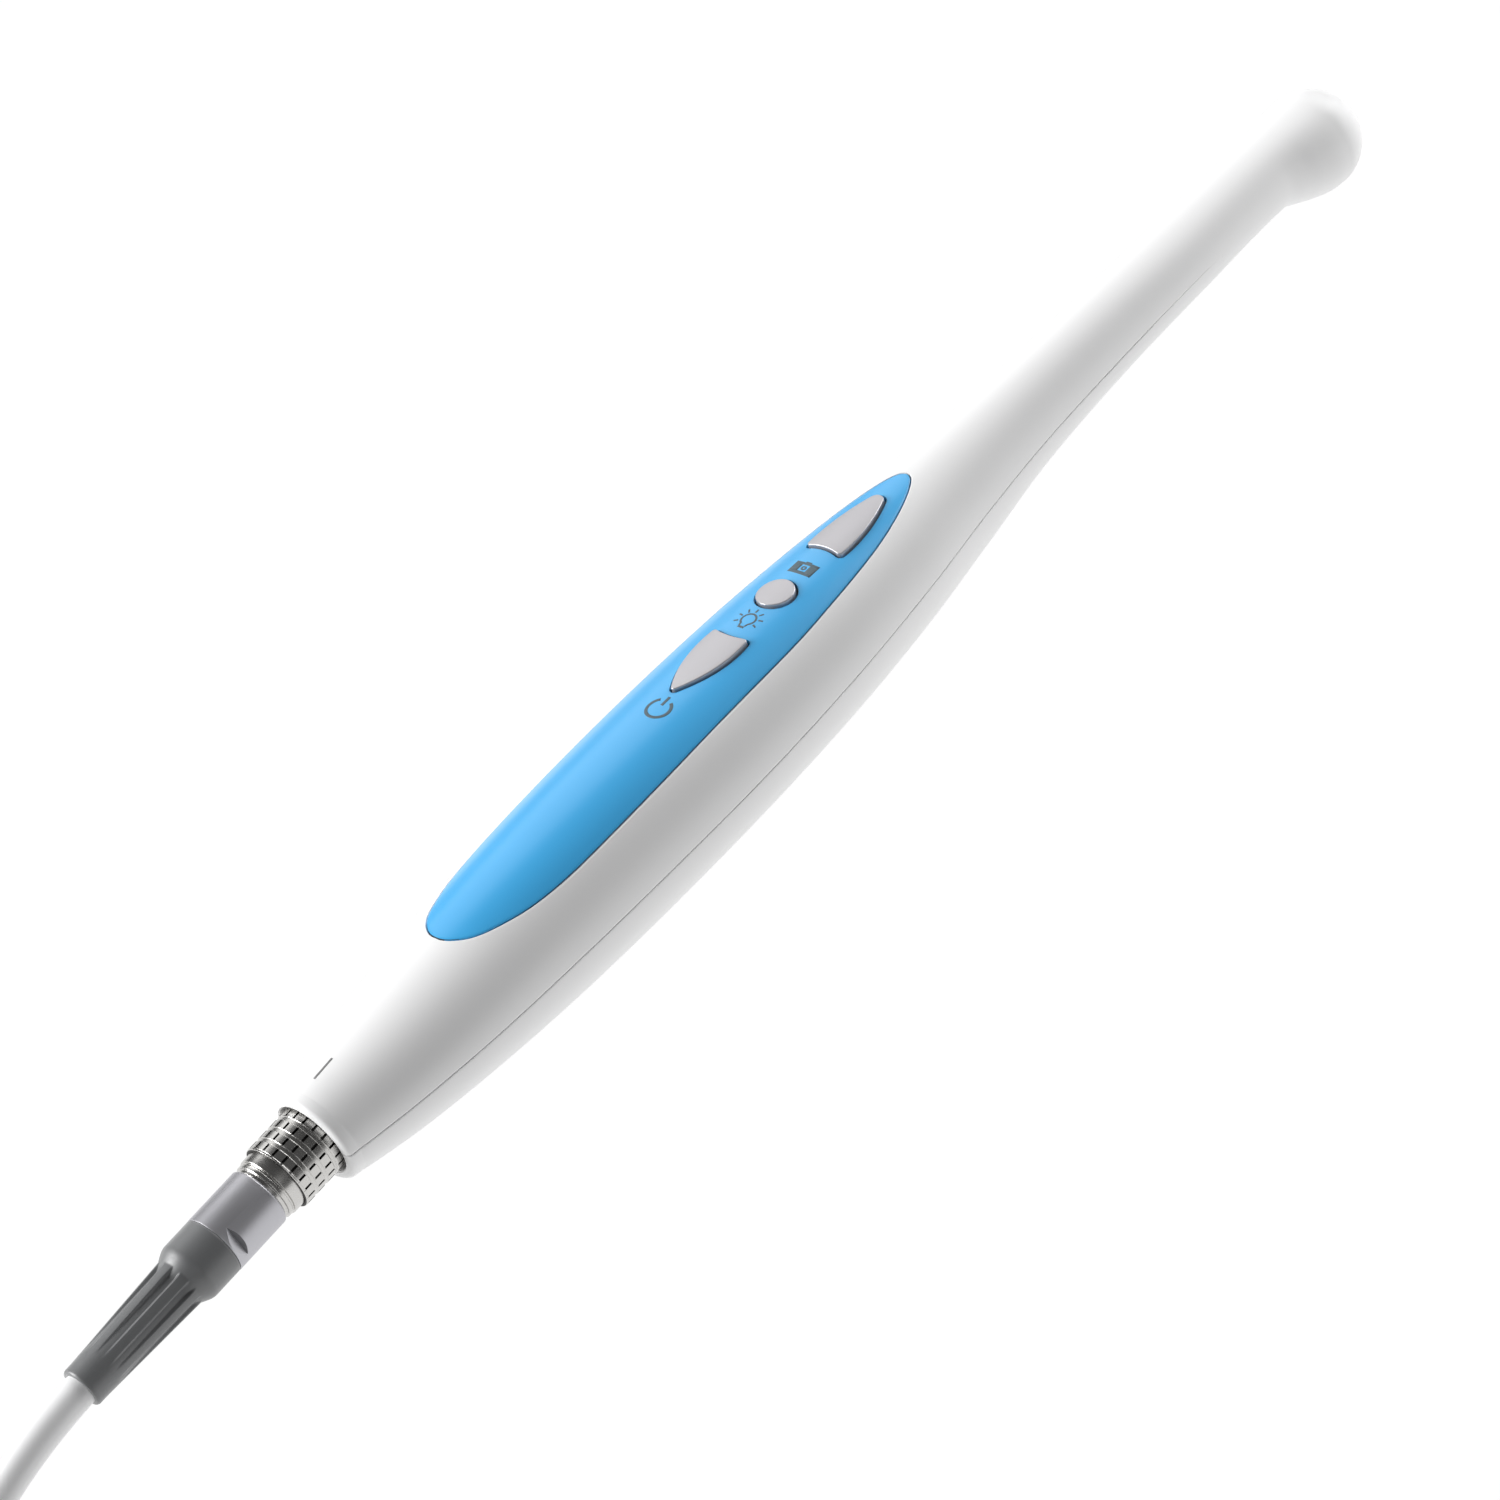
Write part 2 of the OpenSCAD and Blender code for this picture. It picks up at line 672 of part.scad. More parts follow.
// Soft sleeve with long round ribs that sink into its taper
module bend_relief() {
    color("dimgray") difference() {
        union() {
            turned([
                [0, nut_back], [boot_r, nut_back], [boot_r, boot_shoulder],
                [3.25, boot_flare + 0.9], [boot_core_r + 0.15, boot_flare - 0.6],
                [boot_core_r, boot_flare - 3], [boot_end_r, boot_back + 3],
                [boot_end_r + 0.06, boot_back + 1.2], [boot_end_r + 0.06, boot_back + 0.2],
                [boot_end_r, boot_back], [0, boot_back]
            ]);
            for (a = [0 : 360 / rib_count : 359]) on_plug() rotate([0, 0, a]) hull() {
                translate([2.66, 0, boot_flare + 0.6]) sphere(r = 0.55, $fn = 20);
                translate([2.13, 0, boot_back + 3.2]) sphere(r = 0.5, $fn = 20);
            }
        }
        on_plug() translate([0, 0, boot_back - 1]) cylinder(r = cable_d / 2, h = 23, $fn = 40);
    }
}

// ---- cord ----

module swept(route) {
    sides = 8;
    rings = [for (i = [0 : len(route) - 1], p = tube_ring(route, i, cable_d / 2, sides)) p];
    translate([tail_x, 0, 0]) polyhedron(rings, tube_faces(len(route), sides));
}
module cable_lead() {
    color("white") swept(LEAD_ROUTE);
}
module cable_tail() {
    color("white") swept(TAIL_ROUTE);
}
module stadium(r, straight) {
    hull() for (x = [-straight / 2, straight / 2]) translate([x, 0]) circle(r = r, $fn = 32);
}
module cable_hank() {
    color("white") translate([tail_x + hank_x, 0, hank_floor])
        linear_extrude(hank_h) stadium(hank_r, hank_straight);
}
module hank_tie() {
    color("dimgray") translate([tail_x + hank_x - tie_w / 2, 0, 0]) difference() {
        translate([0, -hank_r - tie_t, 0]) cube([tie_w, 2 * (hank_r + tie_t), hank_top + tie_t]);
        translate([-1, -hank_r, hank_floor]) cube([tie_w + 2, 2 * hank_r, hank_h]);
    }
}

// ---- computer plug, lying on the hank ----

module on_usb(x) {
    translate([tail_x + usb_x + x, usb_y, usb_z]) children();
}
module usb_strain_relief() {
    color("gray") on_usb(0) rotate([0, 90, 0])
        cylinder(r1 = cable_d / 2 + 0.5, r2 = 3.4, h = usb_relief_l, $fn = 40);
}
module usb_housing() {
    color("gray") on_usb(usb_relief_l) hull()
        for (x = [1, usb_housing_l - 1], y = [-1, 1], z = [-1, 1])
            translate([x, y * (usb_housing_w / 2 - 1.5), z * (usb_housing_h / 2 - 1.5)])
                rotate([0, 90, 0]) cylinder(r = 1.5, h = 2, center = true, $fn = 24);
}
module usb_shell() {
    color("silver") on_usb(usb_relief_l + usb_housing_l) difference() {
        translate([0, -6, -2.25]) cube([usb_shell_l, 12, 4.5]);
        translate([0.5, -5.7, -1.95]) cube([usb_shell_l, 11.4, 3.9]);
    }
}
module usb_tongue() {
    color("black") on_usb(usb_relief_l + usb_housing_l + 0.5)
        translate([0, -5.6, 0]) cube([usb_shell_l - 1.2, 11.2, 1.85]);
}

upper_shell();
lower_shell();
control_panel();
capture_key();
light_key();
power_key();
capture_plunger();
light_plunger();
power_plunger();
key_mat();
tact_switches();
main_board();
board_chips();
board_screws();
harness_header();
wire_harness();
ribbon_cable();
sensor_board();
image_sensor();
lens_barrel();
barrel_lock_ring();
front_lens();
rear_lens();
head_frame();
lamp_board();
lamps();
light_baffle();
window_gasket();
window_glass();
window_bezel();
receptacle_body();
receptacle_insulator();
receptacle_contacts();
receptacle_nut();
receptacle_seal();
plug_body();
plug_insulator();
plug_pins();
latch_ring();
release_sleeve();
plug_seal();
cable_collet();
collet_nut();
bend_relief();
cable_lead();
cable_hank();
cable_tail();
hank_tie();
usb_strain_relief();
usb_housing();
usb_shell();
usb_tongue();
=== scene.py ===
"""Looks of a wired dental camera handpiece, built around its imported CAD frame.

Sizes are in millimetres, measured along the body from the tail rim, across it, and up from the tail's axis,
unless a line says otherwise. place() takes them into the shared frame, in metres.
"""

import json
import math

import bmesh
import bpy
import numpy as np
from mathutils import Matrix, Vector


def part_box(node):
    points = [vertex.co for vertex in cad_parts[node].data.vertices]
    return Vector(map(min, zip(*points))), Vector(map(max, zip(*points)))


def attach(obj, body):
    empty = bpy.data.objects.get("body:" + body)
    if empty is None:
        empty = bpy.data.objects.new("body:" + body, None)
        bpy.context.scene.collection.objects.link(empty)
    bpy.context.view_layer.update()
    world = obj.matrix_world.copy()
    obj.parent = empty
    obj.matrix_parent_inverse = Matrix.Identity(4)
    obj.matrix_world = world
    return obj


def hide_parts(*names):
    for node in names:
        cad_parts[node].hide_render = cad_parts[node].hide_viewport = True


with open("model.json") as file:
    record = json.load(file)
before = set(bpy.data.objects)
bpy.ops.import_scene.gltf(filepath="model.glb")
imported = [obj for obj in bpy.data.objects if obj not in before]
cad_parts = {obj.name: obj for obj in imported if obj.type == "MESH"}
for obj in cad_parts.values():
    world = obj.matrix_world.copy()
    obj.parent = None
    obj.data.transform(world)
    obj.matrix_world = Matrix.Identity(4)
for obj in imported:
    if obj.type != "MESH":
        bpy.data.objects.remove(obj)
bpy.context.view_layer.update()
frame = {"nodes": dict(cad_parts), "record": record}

# ---- sizes ----

MM = 0.001
AXIS_Z = 11.3
DROOP = math.radians(1.5)
TAIL_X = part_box("upper_shell")[0].x / MM

# distance along, half width, top, parting height, bottom
STATIONS = np.array([
    (0, 6.15, 6.15, 0, -6.15), (10, 8.1, 6.9, -0.1, -8.0), (22, 9.7, 8.0, -0.2, -9.4),
    (36, 10.7, 8.85, -0.35, -10.65), (52, 11.4, 9.1, -0.5, -11.25), (70, 11.7, 8.65, -0.7, -11.4),
    (88, 11.0, 7.75, -0.9, -11.4), (104, 9.5, 6.7, -1.05, -10.9), (118, 7.6, 5.9, -1.2, -9.8),
    (132, 6.3, 5.1, -1.3, -7.9), (150, 5.65, 4.25, -1.5, -6.95), (168, 5.5, 3.4, -1.7, -7.0),
    (187, 5.15, 2.75, -2.4, -7.55), (190.3, 5.6, 2.62, -3.1, -8.9), (193, 6.25, 2.56, -3.75, -10.1),
    (196, 6.85, 2.54, -4.3, -11.2), (198.4, 7.05, 2.55, -4.5, -11.55),
])
PANEL = np.array([
    (25.5, 0), (26.1, 2.0), (28, 3.9), (31.5, 5.4), (36, 6.5), (43, 7.15), (56, 7.35), (70, 7.15),
    (82, 6.85), (90, 6.25), (98, 5.35), (104, 4.3), (109, 2.9), (112.3, 1.4), (113.3, 0),
])
HEAD_X, HEAD_Z, HEAD_R = 198.4, -4.5, 7.05
WINDOW_Z, WINDOW_BORE_R, WINDOW_FLAT_R = HEAD_Z - 5.9, 3.93, 9.0
WALL = 2.0
LOWER_END = 171.19
UPPER_TAKES_OVER = 171.2
RIM_ROUND = 0.55
SEAM_GAP = 0.06
POCKET_GROW = 0.15
POCKET_DEPTH = 0.92
PANEL_THICK = 0.86

LIGHT_X = 87.9
KEY_MIDDLES = {"power": 74.6, "light": LIGHT_X, "capture": 102.2}
KEY_PROUD = 0.37
KEY_DEPTH = 4.4
KEY_GAP = 0.2
KEY_ROUND = 0.55
KEY_EDGE = 0.11
KEY_PLAY = 0.12
KEY_CROWN = 0.7
LIGHT_KEY_R = 2.6

CABLE_R = 2.0
LEAD_ROUTE = [
    (-38.1, 0, 10.3), (-41, 0, 10.1), (-44, 0, 9.75), (-48, 0, 9.0), (-52, 0, 7.9), (-57, 0, 6.3),
    (-62, 0, 4.8), (-67, -0.5, 3.6), (-72, -1.8, 2.9), (-77, -4, 2.8), (-83, -7.2, 2.8), (-89, -10.8, 2.8),
]
TAIL_ROUTE = [(-160, 10, 22.8), (-156, 11.4, 22.8), (-152, 12, 23.2), (-148, 12, 24), (-144, 12, 25)]
HANK_X, HANK_STRAIGHT, HANK_FLOOR = -128.0, 52.0, 0.8
FOLD_RADII = (16.0, 12.0)
HANK_LAYERS = 5

# ---- curves of the body ----


def table_value(table, k, x):
    """Smooth value of column k at each x."""
    x = np.atleast_1d(np.asarray(x, float))
    xs, ys = table[:, 0], table[:, k]
    slopes = np.empty(len(xs))
    slopes[1:-1] = (ys[2:] - ys[:-2]) / (xs[2:] - xs[:-2])
    slopes[0] = (ys[1] - ys[0]) / (xs[1] - xs[0])
    slopes[-1] = (ys[-1] - ys[-2]) / (xs[-1] - xs[-2])
    i = np.clip(np.searchsorted(xs, x, side="right") - 1, 0, len(xs) - 2)
    h = xs[i + 1] - xs[i]
    u = (x - xs[i]) / h
    return (
        ys[i] * (2 * u**3 - 3 * u**2 + 1) + ys[i + 1] * (3 * u**2 - 2 * u**3)
        + h * (slopes[i] * (u**3 - 2 * u**2 + u) + slopes[i + 1] * (u**3 - u**2))
    )


def half_width(x):
    return table_value(STATIONS, 1, x)


def top_z(x):
    return table_value(STATIONS, 2, x)


def parting_z(x):
    return table_value(STATIONS, 3, x)


def bottom_z(x):
    return table_value(STATIONS, 4, x)


def skin(x, a, inset):
    """Point of the body's surface at each x and angle, drawn in by inset.

    The angle runs from +Y over the top.
    """
    w, top, mid, low = half_width(x), top_z(x), parting_z(x), bottom_z(x)
    up = np.where(np.sin(a) >= 0, top - mid, mid - low)
    return np.stack([x + 0 * a, (w - inset) * np.cos(a), mid + (up - inset) * np.sin(a)], -1)


def panel_curve():
    """Dense points along one side of the panel's outline."""
    points = [np.array((p[0], p[1])) for p in PANEL]
    first, last = points[1] * (1, -1), points[-2] * (1, -1)
    ext = [first, *points, last]
    out = []
    for i in range(1, len(ext) - 2):
        p0, p1, p2, p3 = ext[i - 1 : i + 3]
        for u in np.linspace(0, 1, 14, endpoint=False):
            out.append(0.5 * (
                2 * p1 + (p2 - p0) * u + (2 * p0 - 5 * p1 + 4 * p2 - p3) * u**2
                + (3 * p1 - p0 - 3 * p2 + p3) * u**3
            ))
    out.append(points[-1])
    return np.array(out)


CURVE = panel_curve()


def grown(by):
    """The panel's outline moved outward."""
    d = np.gradient(CURVE, axis=0)
    d[0], d[-1] = (0, 1), (0, -1)
    n = np.stack([-d[:, 1], d[:, 0]], 1)
    n /= np.linalg.norm(n, axis=1)[:, None]
    moved = CURVE + n * by
    moved[[0, -1], 1] = 0
    return moved


def outline_width(x, by):
    c = grown(by)
    return np.interp(x, c[:, 0], c[:, 1], left=0, right=0)


def place(points):
    """Millimetres from the tail rim, into the shared frame in metres."""
    return (np.asarray(points, float) + (TAIL_X, 0, AXIS_Z)) * MM


# ---- mesh makers ----

# metres within which points are one, and edges too short to keep after a cut
MERGE_M, SLIVER_M = 4e-7, 1e-6


def grid_faces(rows, cols, base=0, wrap=False, loop=False, flip=False):
    faces = []
    for i in range(rows if loop else rows - 1):
        for j in range(cols if wrap else cols - 1):
            k, m = (j + 1) % cols, (i + 1) % rows
            quad = (base + i * cols + j, base + i * cols + k, base + m * cols + k, base + m * cols + j)
            faces.append(quad[::-1] if flip else quad)
    return faces


def thick(outer, inner, walled_rows=None, last_cap=True, side_walls=True):
    """Vertices and faces of a sheet with an outer and an inner surface, closed along its borders."""
    rows, cols = outer.shape[:2]
    n = rows * cols
    faces = grid_faces(rows, cols) + grid_faces(rows, cols, n, flip=True)
    if side_walls:
        for i in range(rows - 1 if walled_rows is None else walled_rows):
            for j in (0, cols - 1):
                a, b = i * cols + j, (i + 1) * cols + j
                faces.append((a, b, b + n, a + n))
    for i in (0, rows - 1) if last_cap else (0,):
        for j in range(cols - 1):
            a, b = i * cols + j, i * cols + j + 1
            faces.append((a, b, b + n, a + n))
    return np.concatenate([outer.reshape(-1, 3), inner.reshape(-1, 3)]), faces


def joined(*parts):
    verts, faces = [], []
    for v, f in parts:
        base = sum(len(x) for x in verts)
        verts.append(np.asarray(v))
        faces += [tuple(base + i for i in face) for face in f]
    return np.concatenate(verts), faces


def make(name, verts, faces, look, body, slot, replaced=(), sharp=35):
    """A new mesh piece on its body. Its vertices are in metres, and sharp is an angle in degrees."""
    mesh = bpy.data.meshes.new(name)
    mesh.from_pydata([tuple(v) for v in verts], [], faces)
    bm = bmesh.new()
    bm.from_mesh(mesh)
    bmesh.ops.remove_doubles(bm, verts=bm.verts, dist=MERGE_M)
    bmesh.ops.dissolve_degenerate(bm, edges=bm.edges, dist=MERGE_M)
    bmesh.ops.recalc_face_normals(bm, faces=bm.faces)
    for f in bm.faces:
        f.smooth = True
    bm.to_mesh(mesh)
    bm.free()
    obj = bpy.data.objects.new(name, mesh)
    bpy.context.scene.collection.objects.link(obj)
    if sharp:
        mesh.set_sharp_from_angle(angle=math.radians(sharp))
    if look:
        mesh.materials.append(look)
    if body:
        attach(obj, body)
    if replaced:
        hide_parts(*replaced)
    return obj


def cut(obj, verts, faces, sharp=35):
    """Takes a closed shape out of an object, and applies it."""
    cutter = make("cutter", verts, faces, None, None, None, sharp=None)
    modifier = obj.modifiers.new("cut", "BOOLEAN")
    modifier.operation = "DIFFERENCE"
    modifier.solver = "EXACT"
    modifier.object = cutter
    bpy.context.view_layer.update()
    result = bpy.data.meshes.new_from_object(obj.evaluated_get(bpy.context.evaluated_depsgraph_get()))
    obj.modifiers.remove(modifier)
    obj.data = result
    bpy.data.objects.remove(cutter)
    bm = bmesh.new()
    bm.from_mesh(result)
    bmesh.ops.dissolve_degenerate(bm, edges=bm.edges, dist=SLIVER_M)
    for f in bm.faces:
        f.smooth = True
    bm.to_mesh(result)
    bm.free()
    result.set_sharp_from_angle(angle=math.radians(sharp))


def soften(outline, r, steps=4):
    """A closed outline with its corners rounded."""
    points = [np.array(p, float) for p in outline]
    out = []
    for i, p in enumerate(points):
        a, b = points[i - 1] - p, points[(i + 1) % len(points)] - p
        la, lb = np.linalg.norm(a), np.linalg.norm(b)
        turn = math.degrees(math.acos(max(-1, min(1, -(a @ b) / (la * lb)))))
        cut_back = min(r, la * 0.45, lb * 0.45)
        if turn < 12 or p[1] < 1e-6:
            out.append(p)
            continue
        start, end = p + a / la * cut_back, p + b / lb * cut_back
        for u in np.linspace(0, 1, steps):
            out.append(start * (1 - u) ** 2 + 2 * p * u * (1 - u) + end * u**2)
    return out


ALONG = np.array((math.cos(DROOP), 0, math.sin(DROOP)))
ACROSS = np.array((0.0, 1.0, 0.0))
UPWARD = np.array((-math.sin(DROOP), 0, math.cos(DROOP)))


def on_plug(x, r, a):
    """Point in millimetres at distance x along the plug's axis, radius r and angle a from +Y over the top."""
    x, r, a = np.broadcast_arrays(x, r, a)
    return (
        x[..., None] * ALONG + (r * np.cos(a))[..., None] * ACROSS + (r * np.sin(a))[..., None] * UPWARD
    )


def lathe(outline, sides=128):
    """A closed outline of (distance along the plug's axis, radius), turned round it."""
    o = np.array(outline, float)
    a = np.linspace(0, 2 * math.pi, sides, endpoint=False)
    rings = on_plug(o[:, 0][:, None], o[:, 1][:, None], a[None, :])
    return place(rings.reshape(-1, 3)), grid_faces(len(o), sides, wrap=True, loop=True)


# ---- materials ----

COAT_ROUGHNESS, BLOTCH_SCALE = 0.25, 60.0


def look(
    name, colour, rough, metal=0.0, vary=0.04, grain=900.0, bump=0.02, bump_mm=0.02, rough_vary=0.08,
    stretch=(1, 1, 1), coat=0.0, sheen=0.0, specular=0.5, transmission=0.0,
):
    """A surface with fine grain in its bump and its roughness, and slow changes in its colour."""
    m = bpy.data.materials.new(name)
    m.use_nodes = True
    nodes, links = m.node_tree.nodes, m.node_tree.links
    shader = nodes["Principled BSDF"]
    shader.inputs["Metallic"].default_value = metal
    shader.inputs["Specular IOR Level"].default_value = specular
    shader.inputs["Coat Weight"].default_value = coat
    shader.inputs["Coat Roughness"].default_value = COAT_ROUGHNESS
    shader.inputs["Sheen Weight"].default_value = sheen
    shader.inputs["Transmission Weight"].default_value = transmission
    where = nodes.new("ShaderNodeTexCoord")
    scale = nodes.new("ShaderNodeMapping")
    scale.inputs["Scale"].default_value = stretch
    links.new(where.outputs["Object"], scale.inputs["Vector"])
    slow = nodes.new("ShaderNodeTexNoise")
    slow.inputs["Scale"].default_value = BLOTCH_SCALE
    slow.inputs["Detail"].default_value = 3.0
    links.new(where.outputs["Object"], slow.inputs["Vector"])
    fine = nodes.new("ShaderNodeTexNoise")
    fine.inputs["Scale"].default_value = grain
    fine.inputs["Detail"].default_value = 4.0
    links.new(scale.outputs["Vector"], fine.inputs["Vector"])
    mix = nodes.new("ShaderNodeMix")
    mix.data_type = "RGBA"
    mix.inputs["A"].default_value = (*[c * (1 - vary) for c in colour], 1)
    mix.inputs["B"].default_value = (*[min(1.0, c * (1 + vary)) for c in colour], 1)
    links.new(slow.outputs["Fac"], mix.inputs["Factor"])
    links.new(mix.outputs["Result"], shader.inputs["Base Color"])
    spread = nodes.new("ShaderNodeMapRange")
    spread.inputs["To Min"].default_value = max(0.02, rough - rough_vary)
    spread.inputs["To Max"].default_value = min(1.0, rough + rough_vary)
    links.new(fine.outputs["Fac"], spread.inputs["Value"])
    links.new(spread.outputs["Result"], shader.inputs["Roughness"])
    raised = nodes.new("ShaderNodeBump")
    raised.inputs["Strength"].default_value = bump
    raised.inputs["Distance"].default_value = bump_mm * MM
    links.new(fine.outputs["Fac"], raised.inputs["Height"])
    links.new(raised.outputs["Normal"], shader.inputs["Normal"])
    return m


LOOKS = {
    "shell_white": look(
        "white_satin_shell", (0.86, 0.86, 0.862), 0.42, vary=0.012, bump=0.08, rough_vary=0.04
    ),
    "panel_blue": look(
        "blue_satin_panel", (0.040, 0.400, 0.790), 0.42, vary=0.03, grain=2600, bump=0.12,
        rough_vary=0.05, coat=0.8, specular=0.15, sheen=0.2,
    ),
    "key_silver": look(
        "silver_key", (0.51, 0.50, 0.52), 0.36, metal=0.6, grain=3500, bump=0.10, rough_vary=0.06
    ),
    "plastic_black": look("black_plastic", (0.012, 0.012, 0.013), 0.5, bump=0.1),
    "silicone_grey": look("grey_silicone", (0.18, 0.185, 0.19), 0.6, bump=0.2),
    "seal_black": look("black_seal", (0.01, 0.01, 0.01), 0.45, bump=0.1),
    "switch_steel": look("steel_trim", (0.55, 0.55, 0.56), 0.3, metal=1.0, stretch=(1, 20, 20), bump=0.1),
    "board_green": look("board_green", (0.01, 0.11, 0.04), 0.35, bump=0.15),
    "chip_dark": look("dark_chip", (0.015, 0.015, 0.018), 0.4, bump=0.15),
    "header_ivory": look("ivory_header", (0.68, 0.62, 0.45), 0.5, bump=0.1),
    "wire_red": look("red_wire", (0.40, 0.02, 0.015), 0.4, bump=0.1),
    "ribbon_amber": look("amber_ribbon", (0.45, 0.15, 0.02), 0.25, bump=0.05),
    "clear_glass": look(
        "clear_glass", (0.85, 0.92, 0.95), 0.06, transmission=0.85, vary=0.01, rough_vary=0.03
    ),
    "lamp_board_white": look("white_lamp_board", (0.80, 0.80, 0.77), 0.45, bump=0.1),
    "lamp_warm": look("warm_lamp", (0.93, 0.84, 0.45), 0.2, bump=0.05),
    "bezel_steel": look("steel_bezel", (0.55, 0.55, 0.56), 0.28, metal=1.0, grain=2500, bump=0.1),
    "socket_nickel": look("socket_nickel", (0.55, 0.54, 0.53), 0.22, metal=1.0, grain=1800, bump=0.08),
    "insulator_grey": look("grey_insulator", (0.07, 0.07, 0.075), 0.5, bump=0.1),
    "contact_gold": look("gold_contact", (0.85, 0.60, 0.20), 0.18, metal=1.0, bump=0.05),
    "plug_nickel": look(
        "polished_nickel", (0.60, 0.592, 0.575), 0.27, metal=1.0, grain=1500, stretch=(9, 1, 1),
        bump=0.012, vary=0.01, rough_vary=0.05,
    ),
    "collet_brass": look("brass_collet", (0.60, 0.42, 0.14), 0.3, metal=1.0, bump=0.1),
    "nut_satin": look(
        "satin_nut", (0.52, 0.518, 0.547), 0.44, metal=0.9, grain=1700, stretch=(14, 1, 1), bump=0.10,
        rough_vary=0.06,
    ),
    "boot_grey": look(
        "grey_rubber", (0.112, 0.116, 0.120), 0.46, grain=2200, bump=0.20, vary=0.06, specular=1.0,
        sheen=0.4,
    ),
    "cable_white": look("white_cable", (0.82, 0.82, 0.825), 0.38, grain=1500, bump=0.12, vary=0.015),
    "tie_grey": look(
        "grey_strap", (0.09, 0.09, 0.095), 0.85, grain=2600, bump=0.8, bump_mm=0.15, sheen=0.4, vary=0.2
    ),
    "computer_plug_grey": look("grey_plug", (0.38, 0.38, 0.39), 0.45, grain=1500, bump=0.2),
    "computer_plug_steel": look(
        "plug_steel", (0.60, 0.60, 0.61), 0.25, metal=1.0, grain=1500, stretch=(1, 8, 1)
    ),
}
print_grey = look("printed_grey", (0.085, 0.13, 0.155), 0.5, vary=0.12, grain=3000, bump=0.1)
# painted shade: a near-black that stands in for the shadow deep in the sleeve's slots
slot_painted_shade = look("slot_shadow", (0.035, 0.034, 0.033), 0.5, metal=0.8, grain=2500, bump=0.1)
# painted shade: a darker grey that stands in for the shadow on the wall of the nut's flats
nut_wall_painted_shade = look("nut_flat_wall_painted_shade", (0.16, 0.16, 0.17), 0.45, metal=0.6, grain=1700, bump=0.08)
# painted shade: a dark blue that stands in for the shadow in the gap round the panel
panel_edge_painted_shade = look("painted_shade_panel_edge", (0.03, 0.07, 0.11), 0.5, grain=2500, bump=0.1)
mark_grey = look("mark_grey", (0.20, 0.20, 0.20), 0.6, vary=0.1, grain=3000, bump=0.1)

for slot_row in frame["record"]["subparts"]:
    cad_object = frame["nodes"][slot_row["node"]]
    cad_object.data.materials.clear()
    cad_object.data.materials.append(LOOKS[slot_row["material_slot"]])

# ---- camera, floor and lights ----

camera = bpy.data.objects.new("camera", bpy.data.cameras.new("camera"))
bpy.context.scene.collection.objects.link(camera)
bpy.context.scene.camera = camera
camera.data.lens = 100
camera.data.sensor_width = 36
camera.data.clip_start, camera.data.clip_end = 0.01, 20
right = Vector((0.61765, -0.73143, -0.28901)).normalized()
back = Vector((-0.44818, -0.62933, 0.63488)).normalized()
up = back.cross(right).normalized()
right = up.cross(back)
turn = Matrix((right, up, back)).transposed().to_4x4()
camera.matrix_world = Matrix.Translation(place((-150.46, -317.69, 313.01))) @ turn

FLOOR_HALF_M = 3.0
floor_mesh = bpy.data.meshes.new("floor")
floor_mesh.from_pydata(
    [(x * FLOOR_HALF_M, y * FLOOR_HALF_M, 0) for x, y in ((-1, -1), (1, -1), (1, 1), (-1, 1))],
    [], [(0, 1, 2, 3)],
)
floor = bpy.data.objects.new("floor", floor_mesh)
bpy.context.scene.collection.objects.link(floor)
pale = look("pale_floor", (0.01, 0.01, 0.01), 0.9, specular=0.0)
pale.node_tree.nodes["Principled BSDF"].inputs["Emission Color"].default_value = (1, 1, 1, 1)
pale.node_tree.nodes["Principled BSDF"].inputs["Emission Strength"].default_value = 1.0
floor_mesh.materials.append(pale)

world = bpy.data.worlds.new("world")
bpy.context.scene.world = world
world.use_nodes = True
world.node_tree.nodes["Background"].inputs["Color"].default_value = (1, 1, 1, 1)
world.node_tree.nodes["Background"].inputs["Strength"].default_value = 0.06


def soft_light(name, place_m, aim_m, size_m, watts):
    """A round soft lamp that faces the point it lights."""
    lamp = bpy.data.lights.new(name, "AREA")
    lamp.shape = "DISK"
    lamp.size = size_m
    lamp.energy = watts
    obj = bpy.data.objects.new(name, lamp)
    bpy.context.scene.collection.objects.link(obj)
    obj.location = place_m
    obj.rotation_mode = "QUATERNION"
    obj.rotation_quaternion = (Vector(aim_m) - Vector(place_m)).to_track_quat("-Z", "Y")


BODY_MIDDLE, HEAD_PLACE = (-0.01, 0, 0.01), (0.12, 0, 0.01)
soft_light("rear_left", (-0.67, 0.66, 0.593), BODY_MIDDLE, 0.7, 17.0)
soft_light("head_end", (0.923, 0, 0.593), BODY_MIDDLE, 0.7, 4.6)
soft_light("head_near", (0.4, -0.1, 0.1), HEAD_PLACE, 0.3, 0.66)
soft_light("rear_card", (0.45, 0.72, 0.66), BODY_MIDDLE, 0.8, 2.3)
soft_light("front_fill", (-0.375, -0.86, 0.593), BODY_MIDDLE, 0.7, 0.9)

scene = bpy.context.scene
scene.view_settings.view_transform = "Standard"

# ---- cord ----


def through(points, step=2.4):
    """Dense points on one smooth curve through a route."""
    p = [np.array(q, float) for q in points]
    p = [2 * p[0] - p[1], *p, 2 * p[-1] - p[-2]]
    out = []
    for i in range(1, len(p) - 2):
        p0, p1, p2, p3 = p[i - 1 : i + 3]
        count = max(1, round(np.linalg.norm(p2 - p1) / step))
        for u in np.linspace(0, 1, count, endpoint=False):
            out.append(0.5 * (
                2 * p1 + (p2 - p0) * u + (2 * p0 - 5 * p1 + 4 * p2 - p3) * u**2
                + (3 * p1 - p0 - 3 * p2 + p3) * u**3
            ))
    out.append(p[-2])
    return out


